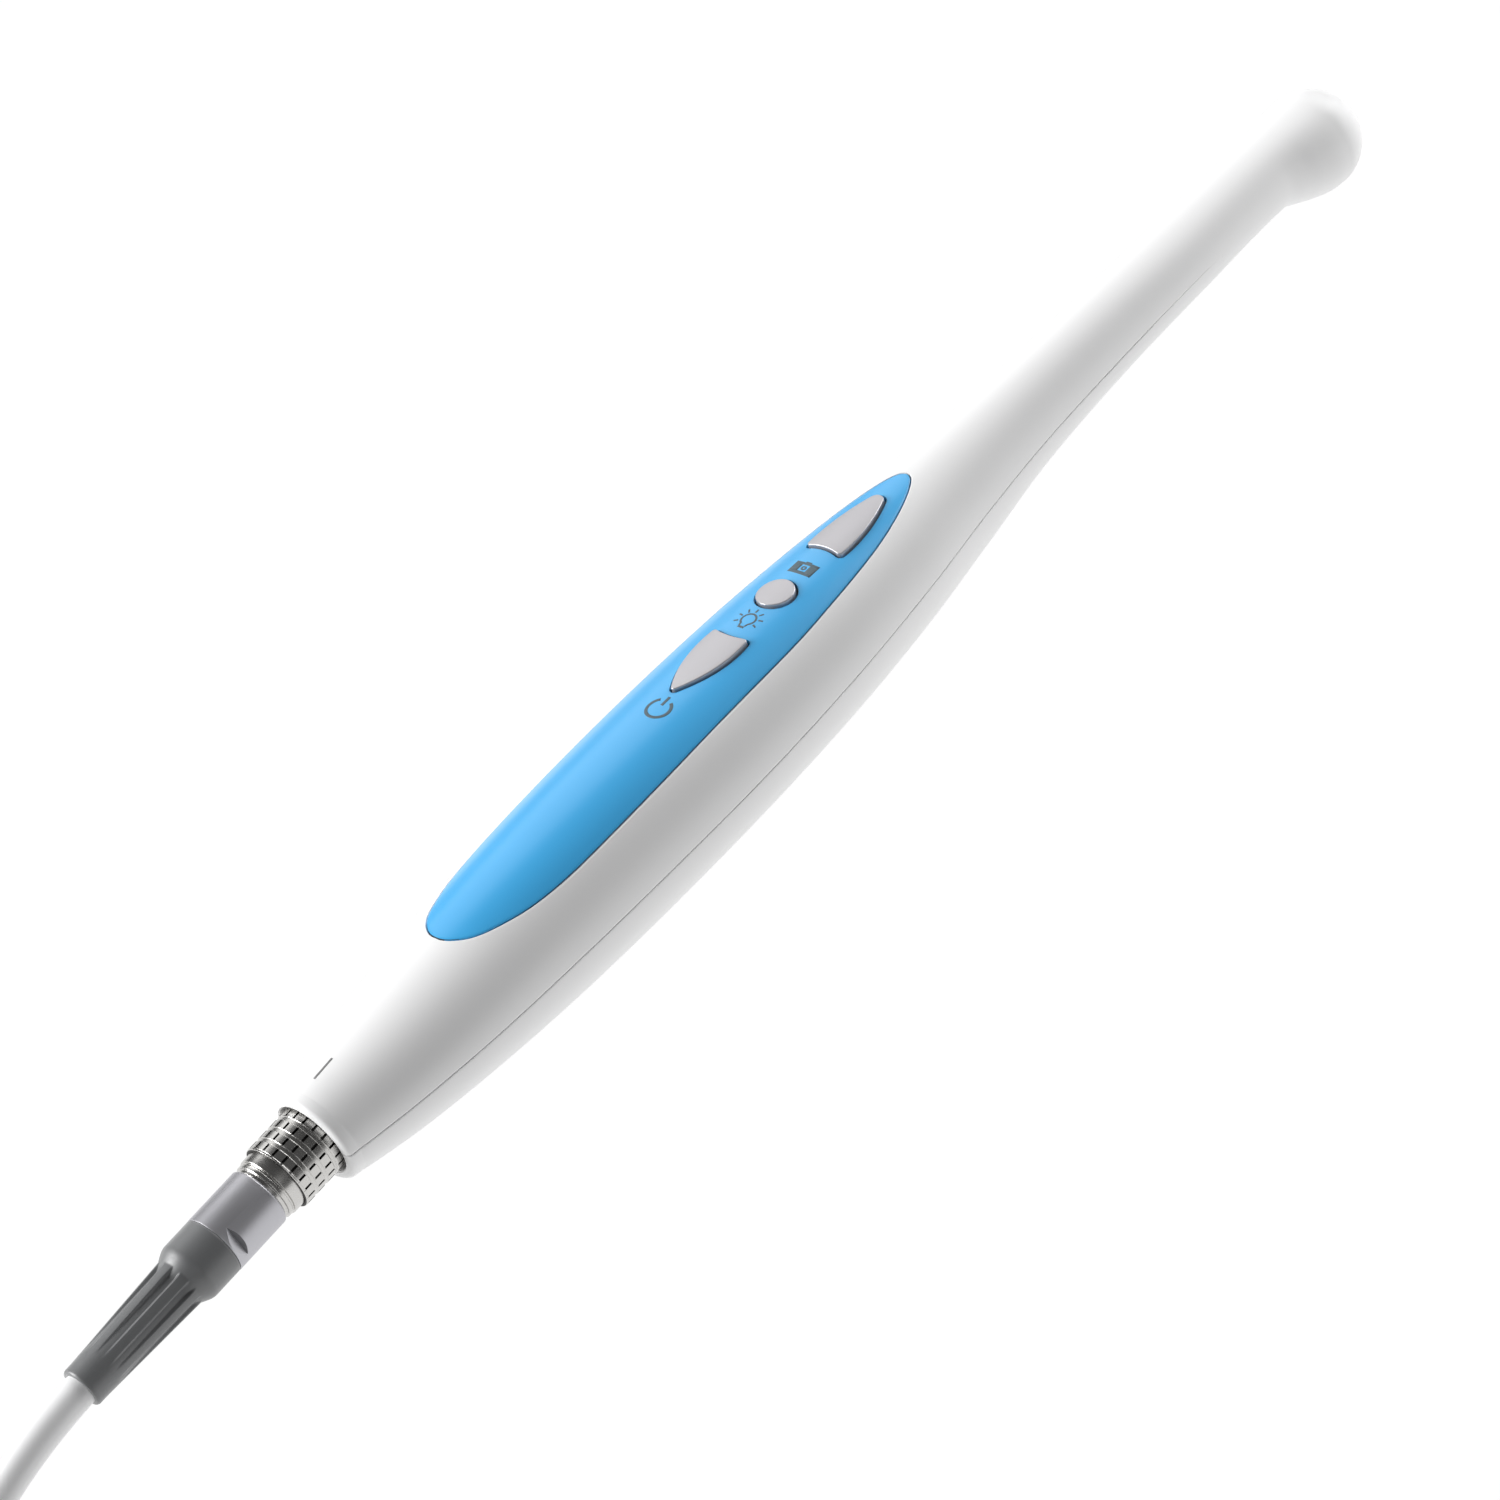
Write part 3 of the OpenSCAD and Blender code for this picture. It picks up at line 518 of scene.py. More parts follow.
def hank_route():
    """The folded turns, from the near fold at the lowest layer to the far fold at the top one."""
    half = HANK_STRAIGHT / 2
    near, far = HANK_X + half, HANK_X - half
    height = [HANK_FLOOR + CABLE_R + 2 * CABLE_R * k for k in range(HANK_LAYERS)]
    plan = []
    for layer, z in enumerate(height):
        radii = FOLD_RADII if layer % 2 == 0 else FOLD_RADII[::-1]
        plan += [(r, z) for r in radii]
    route = []
    fold_angles = [math.radians(a) for a in range(0, 181, 15)]
    for n, (r, z) in enumerate(plan):
        if n > 0:
            for a in fold_angles[:9]:
                route.append((near + r * math.sin(a), r * math.cos(a), z))
        for a in fold_angles[9:]:
            route.append((near + r * math.sin(a), r * math.cos(a), z))
        for u in (0.2, 0.4, 0.6, 0.8):
            route.append((near + (far - near) * u, -r, z))
        if n == len(plan) - 1:
            rise = TAIL_ROUTE[0][2] - z
            for a in fold_angles[:10]:
                share = a / math.radians(150)
                up_by = rise * share**2 * (3 - 2 * share)
                route.append((far - r * math.sin(a), -r * math.cos(a), z + up_by))
            break
        for a in fold_angles:
            route.append((far - r * math.sin(a), -r * math.cos(a), z))
        r2, z2 = plan[n + 1]
        late = 4 if z2 == z else -4
        for along in (-14, -8, -3, 3, 8, 14):
            u = min(1, max(0, (along + 12) / 24))
            u = u * u * (3 - 2 * u)
            route.append((HANK_X + late + along, r + (r2 - r) * u, z + (z2 - z) * u))
    return route


def on_floor(points):
    """Routes give their height from the floor."""
    return [tuple((np.array(p) + (TAIL_X, 0, 0)) * MM) for p in points]


inside_boot = [(x, 0, AXIS_Z + x * math.sin(DROOP)) for x in (-33.0, -36.0)]
cord_points = on_floor(through(inside_boot + LEAD_ROUTE[:-1] + hank_route() + TAIL_ROUTE[1:]))
curve = bpy.data.curves.new("cable", "CURVE")
curve.dimensions = "3D"
curve.bevel_depth = CABLE_R * MM
curve.bevel_resolution = 7
curve.use_fill_caps = True
spline = curve.splines.new("POLY")
spline.points.add(len(cord_points) - 1)
for point, at in zip(spline.points, cord_points):
    point.co = (*at, 1)
spline.use_smooth = True
cable = bpy.data.objects.new("cable", curve)
scene.collection.objects.link(cable)
curve.materials.append(LOOKS["cable_white"])
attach(cable, "plug")
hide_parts("cable_lead", "cable_hank", "cable_tail")

# ---- shells ----


def spaced(values, least=0.02):
    out = []
    for v in sorted(values):
        if not out or v - out[-1] >= least:
            out.append(float(v))
    return out


rim = [
    (RIM_ROUND * (1 - math.cos(t)), RIM_ROUND * (1 - math.sin(t))) for t in np.linspace(0, math.pi / 2, 7)
]
near_ends = [
    x for by in (0.0, POCKET_GROW, 0.22, 0.4) for x in grown(by)[:, 0] if x < 29.5 or x > 108.5
]
base_x = list(np.arange(2.0, 186.0, 1.25)) + list(np.arange(186.0, HEAD_X, 0.5))
tail_x = [x for x, _ in rim] + [0.8, 1.1, 1.3, 1.45, 1.47, 1.6, 1.8, 12.0, 12.05]
inset_at_rim = np.array(rim)


def rim_inset(x):
    """How far the surface is drawn in at the rounded rim and in the fine groove behind it."""
    edge = np.interp(x, inset_at_rim[:, 0], inset_at_rim[:, 1], right=0)
    return edge + 0.06 * np.exp(-(((x - 1.6) / 0.25) ** 2))


def inner_point(x, a):
    """The inside of the shells: the socket's bore at the tail, then a wall's thickness under the skin."""
    bore = 4.9 if x < 1.46 else 4.42
    if x < 0.15:
        bore += 0.15 - x
    if x < 12.02:
        return np.stack([x + 0 * a, bore * np.cos(a), x * math.sin(DROOP) + bore * np.sin(a)], -1)
    return skin(np.array([x]), a, WALL)


def seam_rows(x, up):
    """Angles and insets of the rows beside the parting line, whose gap closes before its end."""
    share = min(1.0, max(0.0, (UPPER_TAKES_OVER - 0.3 - x) / 20))
    heights = share * SEAM_GAP + np.array([0, 0.03, 0.10, 0.24])
    return np.arcsin(heights / up), share * np.array([0.14, 0.04, 0, 0])


def upper_half(x):
    """Angles and insets from the parting line up to the middle of the top, past the panel's pocket."""
    w = float(half_width(x)[0])
    up = float(top_z(x)[0] - parting_z(x)[0])
    a0, i0 = seam_rows(x, up)
    steps_in = (0.4, POCKET_GROW + 0.10, POCKET_GROW + 0.03, POCKET_GROW)
    widths = [float(outline_width(x, by)) for by in steps_in]
    deep = 1.0 if widths[3] > 0 else 0.0
    edge = math.acos(widths[0] / w)
    arc = np.linspace(a0[-1], edge, 28)[1:]
    pocket = [math.acos(widths[k] / w) for k in (1, 2, 3, 3)]
    floor_a = [math.acos(widths[3] * k / w) for k in (0.97, 0.8, 0.6, 0.4, 0.2, 0.0)]
    angles = np.concatenate([a0, arc, pocket, floor_a])
    insets = np.concatenate([
        i0, np.zeros(len(arc)), [0, 0.03 * deep, 0.10 * deep, POCKET_DEPTH * deep],
        [POCKET_DEPTH * deep] * 6,
    ])
    return angles, insets


def ball_rows(a, b, inset):
    r = HEAD_R - inset
    return np.stack([
        HEAD_X + r * np.sin(a) + 0 * b, r * np.cos(a) * np.cos(b), HEAD_Z + r * np.cos(a) * np.sin(b)
    ], -1)


# from the neck's end to the tip of the head
BALL_ANGLES = np.radians(np.arange(4, 91, 4.3)[:20].tolist() + [90.0])


def upper_shell_mesh():
    xs = spaced([*tail_x, *near_ends, *base_x, UPPER_TAKES_OVER - 0.25, UPPER_TAKES_OVER, HEAD_X])
    first_full = next(i for i, x in enumerate(xs) if x >= UPPER_TAKES_OVER - 1e-6)
    outer, inner = [], []
    for x in xs:
        a, inset = upper_half(x)
        a = np.concatenate([a, math.pi - a[-2::-1]])
        inset = np.concatenate([inset, inset[-2::-1]])
        outer.append(skin(np.array([x]), a, inset + rim_inset(x)))
        inner.append(inner_point(x, a))
    for t in BALL_ANGLES:
        outer.append(ball_rows(t, a, 0))
        inner.append(ball_rows(t, a, WALL))
    top = thick(np.array(outer), np.array(inner), walled_rows=first_full, last_cap=False)
    below = np.linspace(math.pi, 2 * math.pi, 49)
    outer, inner = [], []
    for x in xs[first_full:]:
        outer.append(skin(np.array([x]), below, 0))
        inner.append(skin(np.array([x]), below, WALL))
    for t in BALL_ANGLES:
        outer.append(ball_rows(t, below, 0))
        inner.append(ball_rows(t, below, WALL))
    under = thick(np.array(outer), np.array(inner), side_walls=False, last_cap=False)
    verts, faces = joined(top, under)
    return place(verts), faces


def lower_shell_mesh():
    xs = spaced([x for x in [*tail_x, *base_x] if x < LOWER_END - 0.3] + [LOWER_END - 0.12, LOWER_END])
    outer, inner = [], []
    for x in xs:
        deep = float(parting_z(x)[0] - bottom_z(x)[0])
        a0, i0 = seam_rows(x, deep)
        arc = np.linspace(a0[-1], math.pi / 2, 30)[1:]
        a = np.concatenate([a0, arc])
        inset = np.concatenate([i0, np.zeros(len(arc))])
        a = math.pi + np.concatenate([a, math.pi - a[-2::-1]])
        inset = np.concatenate([inset, inset[-2::-1]])
        ring = skin(np.array([x]), a, inset + rim_inset(x))
        ring[:, 2] = np.maximum(ring[:, 2], -AXIS_Z)
        outer.append(ring)
        inner.append(inner_point(x, a))
    verts, faces = thick(np.array(outer), np.array(inner))
    return place(verts), faces


# ---- keys ----


def arc_points(centre, r, start, end, count):
    """Points on an arc by the shorter way round."""
    while end - start > math.pi:
        end -= 2 * math.pi
    while start - end > math.pi:
        end += 2 * math.pi
    return [
        (centre[0] + r * math.cos(t), centre[1] + r * math.sin(t)) for t in np.linspace(start, end, count)
    ]


def blade_outline(mid, r, across, edge_r, side, tip_r):
    """Outline of a key with a rounded tip and an edge that curves round the light key."""
    big = np.array((mid, -across))
    light = np.array((LIGHT_X, 0.0))
    k = KEY_ROUND
    tip = np.array((mid + side * math.sqrt((r - tip_r) ** 2 - across**2), 0.0))
    span = light - big
    d = np.linalg.norm(span)
    along = ((r - k) ** 2 - (edge_r + k) ** 2 + d**2) / (2 * d)
    off = math.sqrt((r - k) ** 2 - along**2)
    unit = span / d
    choices = [big + unit * along + s * off * np.array((-unit[1], unit[0])) for s in (1, -1)]
    corner = max(choices, key=lambda p: p[1])

    def heading(v):
        return math.atan2(v[1], v[0])

    half = (
        arc_points(tip, tip_r, heading((side, 0)), heading(tip - big), 9)
        + arc_points(big, r, heading(tip - big), heading(corner - big), 30)[1:]
        + arc_points(corner, k, heading(corner - big), heading(light - corner), 9)[1:]
        + arc_points(light, edge_r, heading(corner - light), heading((side, 0)), 14)[1:]
    )
    return np.array(half + [(x, -y) for x, y in half[-2:0:-1]])


def circle_outline(x, r, count=72):
    turns = np.linspace(0, 2 * math.pi, count, endpoint=False)
    return np.array([(x + r * math.cos(t), r * math.sin(t)) for t in turns])


def moved_out(outline, by):
    """A closed outline with each point moved outward along its normal."""
    ahead, behind = np.roll(outline, -1, 0), np.roll(outline, 1, 0)
    d = (ahead - outline) / np.linalg.norm(ahead - outline, axis=1)[:, None]
    e = (outline - behind) / np.linalg.norm(outline - behind, axis=1)[:, None]
    t = d + e
    n = np.stack([t[:, 1], -t[:, 0]], 1)
    n /= np.linalg.norm(n, axis=1)[:, None]
    area = 0.5 * np.sum(outline[:, 0] * ahead[:, 1] - ahead[:, 0] * outline[:, 1])
    return outline + n * by * (1 if area > 0 else -1)


KEY_OUTLINES = {
    "power": blade_outline(77.3, 15.8, 12.8, 8.6, -1, 0.6),
    "light": circle_outline(LIGHT_X, LIGHT_KEY_R),
    "capture": blade_outline(98.3, 25.5, 22.6, 9.3, 1, 1.2),
}


def key_frame(name):
    """Where a key stands on the body, and the directions along and out of its top."""
    x = KEY_MIDDLES[name]
    t = math.atan(float(top_z(x + 1)[0] - top_z(x - 1)[0]) / 2)
    origin = np.array((x, 0.0, float(top_z(x)[0])))
    return origin, np.array((math.cos(t), 0, math.sin(t))), np.array((-math.sin(t), 0, math.cos(t)))


def key_ring(name, outline, z):
    origin, along, out = key_frame(name)
    local = outline - (KEY_MIDDLES[name], 0)
    return np.array([origin + p[0] * along + p[1] * ACROSS + z * out for p in local])


def prism(rings):
    """A closed solid through rings of the same count."""
    r = np.array(rings)
    rows, cols = r.shape[:2]
    faces = grid_faces(rows, cols, wrap=True)
    faces += [tuple(range(cols)), tuple((rows - 1) * cols + i for i in range(cols))]
    return place(r.reshape(-1, 3)), faces


wells = joined(*[
    prism([key_ring(n, moved_out(o, KEY_GAP), z) for z in (-KEY_DEPTH - 3, 3)])
    for n, o in KEY_OUTLINES.items()
])


def disc_cutter(r, low, high):
    ring = circle_outline(HEAD_X, r, 96)
    return prism([np.column_stack([ring, np.full(len(ring), z)]) for z in (low, high)])


upper = make(
    "upper_shell_skin", *upper_shell_mesh(), LOOKS["shell_white"], "handpiece", "shell_white", ["upper_shell"]
)
cut(upper, *wells)
cut(upper, *disc_cutter(WINDOW_FLAT_R, WINDOW_Z - 4, WINDOW_Z))
cut(upper, *disc_cutter(WINDOW_BORE_R, WINDOW_Z - 1, HEAD_Z - 2.5))
lower = make(
    "lower_shell_skin", *lower_shell_mesh(), LOOKS["shell_white"], "handpiece", "shell_white", ["lower_shell"]
)

# ---- control panel ----


def panel_mesh():
    xs = spaced([*near_ends, *base_x, CURVE[0, 0], CURVE[-1, 0]])
    xs = [x for x in xs if CURVE[0, 0] <= x <= CURVE[-1, 0]]
    top, bottom = [], []
    for x in xs:
        w = float(half_width(x)[0])
        widths = [float(outline_width(x, by)) for by in (0, -0.03, -0.10, -0.28)]
        ys = widths[:3] + [widths[3] * k for k in np.linspace(1, 0, 16)]
        depth = [0.10, 0.03, 0] + [0] * 16
        ys = np.array(ys + [-y for y in ys[-2::-1]])
        depth = np.array(depth + depth[-2::-1])
        a = np.arccos(ys / w)
        top.append(skin(np.array([x]), a, depth))
        bottom.append(skin(np.array([x]), a, PANEL_THICK))
    verts, faces = thick(np.array(top), np.array(bottom))
    return place(verts), faces


panel = make(
    "control_panel_skin", *panel_mesh(), LOOKS["panel_blue"], "handpiece", "panel_blue", ["control_panel"]
)
cut(panel, *wells)
# The faces along the panel's border get a dark painted shade, standing in for the shadow in the gap between
# panel and shell.
panel.data.materials.append(panel_edge_painted_shade)
on_painted_shade_edge = []
for vertex in panel.data.vertices:
    x, y = vertex.co.x / MM - TAIL_X, abs(vertex.co.y) / MM
    on_painted_shade_edge.append(y > float(outline_width(x, -0.034)) - 0.002)
for polygon in panel.data.polygons:
    if all(on_painted_shade_edge[v] for v in polygon.vertices):
        polygon.material_index = len(panel.data.materials) - 1

def crowned_ring(name, outline, below_top):
    """A ring of a key's cap, crowned like the panel round it."""
    origin, along, out = key_frame(name)
    local = outline - (KEY_MIDDLES[name], 0)
    flat = origin + local[:, :1] * along + local[:, 1:] * ACROSS
    a = np.arccos(flat[:, 1] / half_width(flat[:, 0]))
    rise = KEY_CROWN * (skin(flat[:, 0], a, 0)[:, 2] - flat[:, 2]) + KEY_PROUD - below_top
    return flat + rise[:, None] * out


for key, outline in KEY_OUTLINES.items():
    outline = moved_out(outline, -KEY_PLAY)
    middle = np.array((outline[:, 0].mean(), 0.0))
    rings = [key_ring(key, outline, -KEY_DEPTH), crowned_ring(key, outline, KEY_PROUD + 0.4)]
    for t in np.linspace(0, math.pi / 2, 6):
        edge = moved_out(outline, -KEY_EDGE * (1 - math.cos(t)))
        rings.append(crowned_ring(key, edge, KEY_EDGE * (1 - math.sin(t))))
    top = moved_out(outline, -KEY_EDGE - 0.08)
    rings += [crowned_ring(key, middle + (top - middle) * k, 0) for k in (1, 0.85, 0.65, 0.45, 0.25, 0.08)]
    make(
        f"{key}_key_cap", *prism(rings), LOOKS["key_silver"], f"{key}_button", "key_silver", [f"{key}_key"]
    )

# ---- printed marks, lying on the panel ----

MARK_LIFT, MARK_SUNK = 0.012, 0.04


def on_skin(points, lift):
    p = np.array(points, float)
    w = half_width(p[:, 0])
    a = np.arccos(np.clip(p[:, 1] / w, -1, 1))
    return skin(p[:, 0], a, -lift)


def stroke(path, width):
    """A thin flat strip along a path in plan, lying on the skin."""
    p = np.array(path, float)
    d = np.gradient(p, axis=0)
    d /= np.linalg.norm(d, axis=1)[:, None]
    n = np.stack([-d[:, 1], d[:, 0]], 1) * width / 2
    sides = [p + n * k for k in (-1, -0.5, 0, 0.5, 1)]
    top = np.array([on_skin(s, MARK_LIFT) for s in sides])
    low = np.array([on_skin(s, -MARK_SUNK) for s in sides])
    verts, faces = thick(top, low)
    return place(verts), faces


def line(start, end):
    return [tuple(np.array(start) + (np.array(end) - start) * u) for u in np.linspace(0, 1, 8)]


def ring_path(x, r, start, end, count=48):
    """Points on a circle in plan. The angles are in degrees."""
    return [(x + r * math.cos(t), r * math.sin(t)) for t in map(math.radians, np.linspace(start, end, count))]


POWER_ICON_X, BULB_ICON_X, CAMERA_ICON_X = 65.5, 82.6, 93.25
POWER_ICON_Y = -0.42
power_icon = joined(
    stroke([(x, y + POWER_ICON_Y) for x, y in ring_path(POWER_ICON_X, 1.56, 32, 328)], 0.43),
    stroke(line((POWER_ICON_X + 0.55, POWER_ICON_Y), (POWER_ICON_X + 2.1, POWER_ICON_Y)), 0.41),
)
make("power_mark", *power_icon, print_grey, "handpiece", None, sharp=None)
bulb_parts = [
    stroke(ring_path(BULB_ICON_X + 0.15, 0.98, -145, 145), 0.27),
    stroke(line((BULB_ICON_X - 0.62, 0.55), (BULB_ICON_X - 1.15, 0.42)), 0.25),
    stroke(line((BULB_ICON_X - 0.62, -0.55), (BULB_ICON_X - 1.15, -0.42)), 0.25),
    stroke(line((BULB_ICON_X - 1.34, 0.46), (BULB_ICON_X - 1.34, -0.46)), 0.34),
]
for a in (-115, -75, -38, 0, 38, 75, 115):
    c, s = math.cos(math.radians(a)), math.sin(math.radians(a))
    bulb_parts.append(stroke(
        line((BULB_ICON_X + 0.15 + 1.33 * c, 1.33 * s), (BULB_ICON_X + 0.15 + 1.95 * c, 1.95 * s)), 0.24
    ))
make("light_mark", *joined(*bulb_parts), print_grey, "handpiece", None, sharp=None)
camera_parts = [
    stroke(ring_path(CAMERA_ICON_X, 0.27, 0, 352, 30), 0.26),
    stroke(line((CAMERA_ICON_X - 0.86, -1.8), (CAMERA_ICON_X - 0.86, 1.8)), 0.54),
    stroke(line((CAMERA_ICON_X + 0.80, -1.8), (CAMERA_ICON_X + 0.80, 1.8)), 0.42),
    stroke(line((CAMERA_ICON_X - 0.62, 1.2), (CAMERA_ICON_X + 0.62, 1.2)), 1.2),
    stroke(line((CAMERA_ICON_X - 0.62, -1.2), (CAMERA_ICON_X + 0.62, -1.2)), 1.2),
    stroke(line((CAMERA_ICON_X + 1.09, -0.45), (CAMERA_ICON_X + 1.09, 0.45)), 0.22),
]
make("capture_mark", *joined(*camera_parts), print_grey, "handpiece", None, sharp=None)
index = stroke(line((3.75, 0), (6.9, 0)), 0.30)
make("index_mark", *index, mark_grey, "handpiece", None, sharp=None)

# ---- push-pull plug ----

SLEEVE_R, SLEEVE_BORE, SLEEVE_FRONT, SLEEVE_BACK = 4.5, 4.12, 0.7, -6.05
KNURL_RINGS, KNURL_SEGMENTS = 4, 20
RING_GROOVE, SLOT_DEPTH, CLOSED_SLOT_DEPTH = 0.12, 0.33, 0.04


def sleeve_mesh():
    """The grip of the release sleeve: rings of raised squares, with short deep slots between them."""
    pitch = (SLEEVE_FRONT - SLEEVE_BACK) / KNURL_RINGS
    # place along the axis, depth below the crest, and whether the slots are open there
    rows = [(SLEEVE_BACK, 0.10, 0), (SLEEVE_BACK + 0.06, 0.03, 0)]
    for k in range(KNURL_RINGS):
        x = SLEEVE_BACK + k * pitch
        if k > 0:
            rows += [(x - 0.20, RING_GROOVE, 0), (x, RING_GROOVE, 0), (x + 0.20, RING_GROOVE, 0)]
        else:
            rows += [(x + 0.20, 0.0, 0)]
        rows += [(x + 0.26, 0.03, 0), (x + 0.31, 0.0, 0), (x + 0.36, 0.0, 0), (x + 0.40, 0.0, 1)]
        rows += [(x + pitch / 2, 0.0, 1), (x + pitch - 0.40, 0.0, 1), (x + pitch - 0.36, 0.0, 0)]
        rows += [(x + pitch - 0.31, 0.0, 0), (x + pitch - 0.26, 0.03, 0)]
    rows += [(SLEEVE_FRONT - 0.06, 0.03, 0), (SLEEVE_FRONT, 0.10, 0)]
    step = 2 * math.pi / KNURL_SEGMENTS
    # share of one segment, and whether it lies in a slot
    parts = [
        (0.0, 1), (0.09, 1), (0.11, 0), (0.14, 0), (0.30, 0), (0.5, 0), (0.70, 0), (0.86, 0), (0.89, 0),
        (0.91, 1),
    ]
    angles = np.array([(i + share) * step for i in range(KNURL_SEGMENTS) for share, _ in parts])
    slotted = np.array([in_slot for _ in range(KNURL_SEGMENTS) for _, in_slot in parts])
    rings = []
    for x, drop, open_slot in rows:
        slot_drop = slotted * (SLOT_DEPTH if open_slot else CLOSED_SLOT_DEPTH)
        rings.append(on_plug(x, SLEEVE_R - np.maximum(drop, slot_drop), angles))
    rings += [on_plug(SLEEVE_FRONT, SLEEVE_BORE, angles), on_plug(SLEEVE_BACK, SLEEVE_BORE, angles)]
    rings = np.array(rings)
    return place(rings.reshape(-1, 3)), grid_faces(len(rings), len(angles), wrap=True, loop=True)


sleeve = make(
    "release_sleeve_knurled", *sleeve_mesh(), LOOKS["plug_nickel"], "sleeve", "plug_nickel",
    ["release_sleeve"],
)
# The faces inside the slots get a near-black painted shade, standing in for the shadow deep in the slots.
sleeve.data.materials.append(slot_painted_shade)
for polygon in sleeve.data.polygons:
    centre = np.array(polygon.center) / MM - (TAIL_X, 0, AXIS_Z)
    off_axis = math.hypot(centre @ ACROSS, centre @ UPWARD)
    outward = np.array(polygon.normal) @ (centre - (centre @ ALONG) * ALONG)
    if SLEEVE_BORE + 0.02 < off_axis < SLEEVE_R - 0.13 and outward > -0.5:
        polygon.material_index = 1

PLUG_OUTLINE = [
    (-12.5, 2.55), (-12.5, 3.2), (-8.75, 3.2), (-8.75, 3.6), (-8.3, 3.6), (-8.3, 3.9), (-7.8, 3.9),
    (-7.8, 3.75), (-7.5, 3.75), (-7.5, 4.06), (-1.5, 4.06), (-1.5, 3.7), (-0.7, 3.7), (-0.7, 4.06),
    (0.9, 4.06), (0.9, 3.3), (11.3, 3.3), (11.6, 3.1), (11.6, 2.6), (0.0, 2.6), (0.0, 1.95),
    (-4.0, 1.95), (-4.0, 2.55),
]
make(
    "plug_body_turned", *lathe(soften(PLUG_OUTLINE, 0.09)), LOOKS["plug_nickel"], "plug", "plug_nickel",
    ["plug_body"], sharp=45,
)

NUT_R, NUT_FRONT, NUT_BACK = 3.95, -8.77, -16.5
NUT_OUTLINE = [
    (NUT_BACK, 2.55), (NUT_BACK, NUT_R - 0.02), (NUT_BACK + 0.12, NUT_R), (NUT_FRONT - 0.25, NUT_R),
    (NUT_FRONT, NUT_R - 0.25), (NUT_FRONT, 3.24), (-12.6, 3.24), (-12.6, 2.55),
]
nut = make(
    "collet_nut_turned", *lathe(soften(NUT_OUTLINE, 0.10)), LOOKS["nut_satin"], "plug", "nut_satin",
    ["collet_nut"], sharp=45,
)
FLAT_WALL_X, FLAT_RUN_OUT_X, FLAT_R, FLAT_WALL_LEAN = -15.2, -16.35, 3.38, 2.1
FLAT_ANGLES = (162, 342)


def flat_cutter(angle, out=6.0, half=5.0):
    """A wedge that cuts a flat for a spanner, with a wall at its head side, running out towards the tail."""
    outward = math.cos(angle) * ACROSS + math.sin(angle) * UPWARD
    sideways = -math.sin(angle) * ACROSS + math.cos(angle) * UPWARD
    section = [
        (FLAT_RUN_OUT_X, NUT_R + 0.02), (FLAT_WALL_X, FLAT_R), (FLAT_WALL_X + FLAT_WALL_LEAN, out),
        (FLAT_RUN_OUT_X, out),
    ]
    corners = [x * ALONG + r * outward + side * half * sideways for side in (-1, 1) for x, r in section]
    return place(corners), [(0, 1, 2, 3), (7, 6, 5, 4), (0, 4, 5, 1), (1, 5, 6, 2), (2, 6, 7, 3), (3, 7, 4, 0)]


for a in FLAT_ANGLES:
    cut(nut, *flat_cutter(math.radians(a)), sharp=20)
# The tailward face of each flat's wall gets a darker painted shade, standing in for the shadow that falls on
# that wall.
nut.data.materials.append(nut_wall_painted_shade)
for polygon in nut.data.polygons:
    centre = np.array(polygon.center) / MM - (TAIL_X, 0, AXIS_Z)
    if FLAT_WALL_X - 0.05 < centre @ ALONG < FLAT_WALL_X + 0.6 and np.array(polygon.normal) @ ALONG < -0.5:
        polygon.material_index = 1

BOOT_FRONT, BOOT_SHOULDER, BOOT_FLARE, BOOT_BACK = -16.5, -20.3, -22.9, -38.1
BOOT_R, BOOT_END_R, RIB_COUNT = 3.92, 2.52, 8


def smooth_step(u):
    u = np.clip(u, 0, 1)
    return u * u * (3 - 2 * u)


def boot_mesh():
    sides = RIB_COUNT * 36
    a = np.linspace(0, 2 * math.pi, sides, endpoint=False)
    xs = [BOOT_FRONT, BOOT_FRONT - 0.03, BOOT_FRONT - 0.12, BOOT_FRONT - 0.3, -18.0]
    xs += list(np.arange(BOOT_SHOULDER + 0.8, BOOT_FLARE - 1.6, -0.13)) + list(np.arange(-24.6, -36.8, -0.35))
    xs += [-37.2, -37.6, -37.75, -37.87, -37.95, -38.02, -38.07, BOOT_BACK]
    spacing = 2 * math.pi / RIB_COUNT
    phase = (a + spacing / 2) % spacing - spacing / 2
    bump = smooth_step((0.56 * spacing / 2 + 0.05 - np.abs(phase)) / 0.1)
    rings = []
    for x in xs:
        back = min(1, max(0, (-22.0 - x) / 14.8))
        crest = 3.22 + (BOOT_END_R + 0.1 - 3.22) * back
        groove = 0.46 * min(1, max(0, (34.6 + x) / 10.5)) ** 0.7
        flare = BOOT_R + (crest - groove - BOOT_R) * smooth_step((BOOT_SHOULDER - x) / 3.2)
        if x > BOOT_SHOULDER:
            flare = BOOT_R - 0.12 * (1 - min(1, (BOOT_FRONT - x) / 0.12)) ** 2
        r = flare + max(0, crest - flare) * bump
        if x < -37.75:
            r = r - 0.16 * ((-37.75 - x) / 0.35) ** 2
        rings.append(on_plug(x, r, a))
    for x in (BOOT_BACK, BOOT_FRONT):
        rings.append(on_plug(x, 2.0 + 0 * a, a))
    rings = np.array(rings)
    return place(rings.reshape(-1, 3)), grid_faces(len(rings), sides, wrap=True, loop=True)


make("bend_relief_ribbed", *boot_mesh(), LOOKS["boot_grey"], "plug", "boot_grey", ["bend_relief"], sharp=50)

# ---- strap round the hank ----


def round_box(half_y, low, high, r, count=8):
    """Outline of a rounded box in (across, height), in order round it."""
    out = []
    corners = [
        (half_y - r, high - r, 0), (-half_y + r, high - r, 90), (-half_y + r, low + r, 180),
        (half_y - r, low + r, 270),
    ]
    for cy, cz, start in corners:
        for t in np.linspace(math.radians(start), math.radians(start + 90), count):
            out.append((cy + r * math.cos(t), cz + r * math.sin(t)))
    return np.array(out)


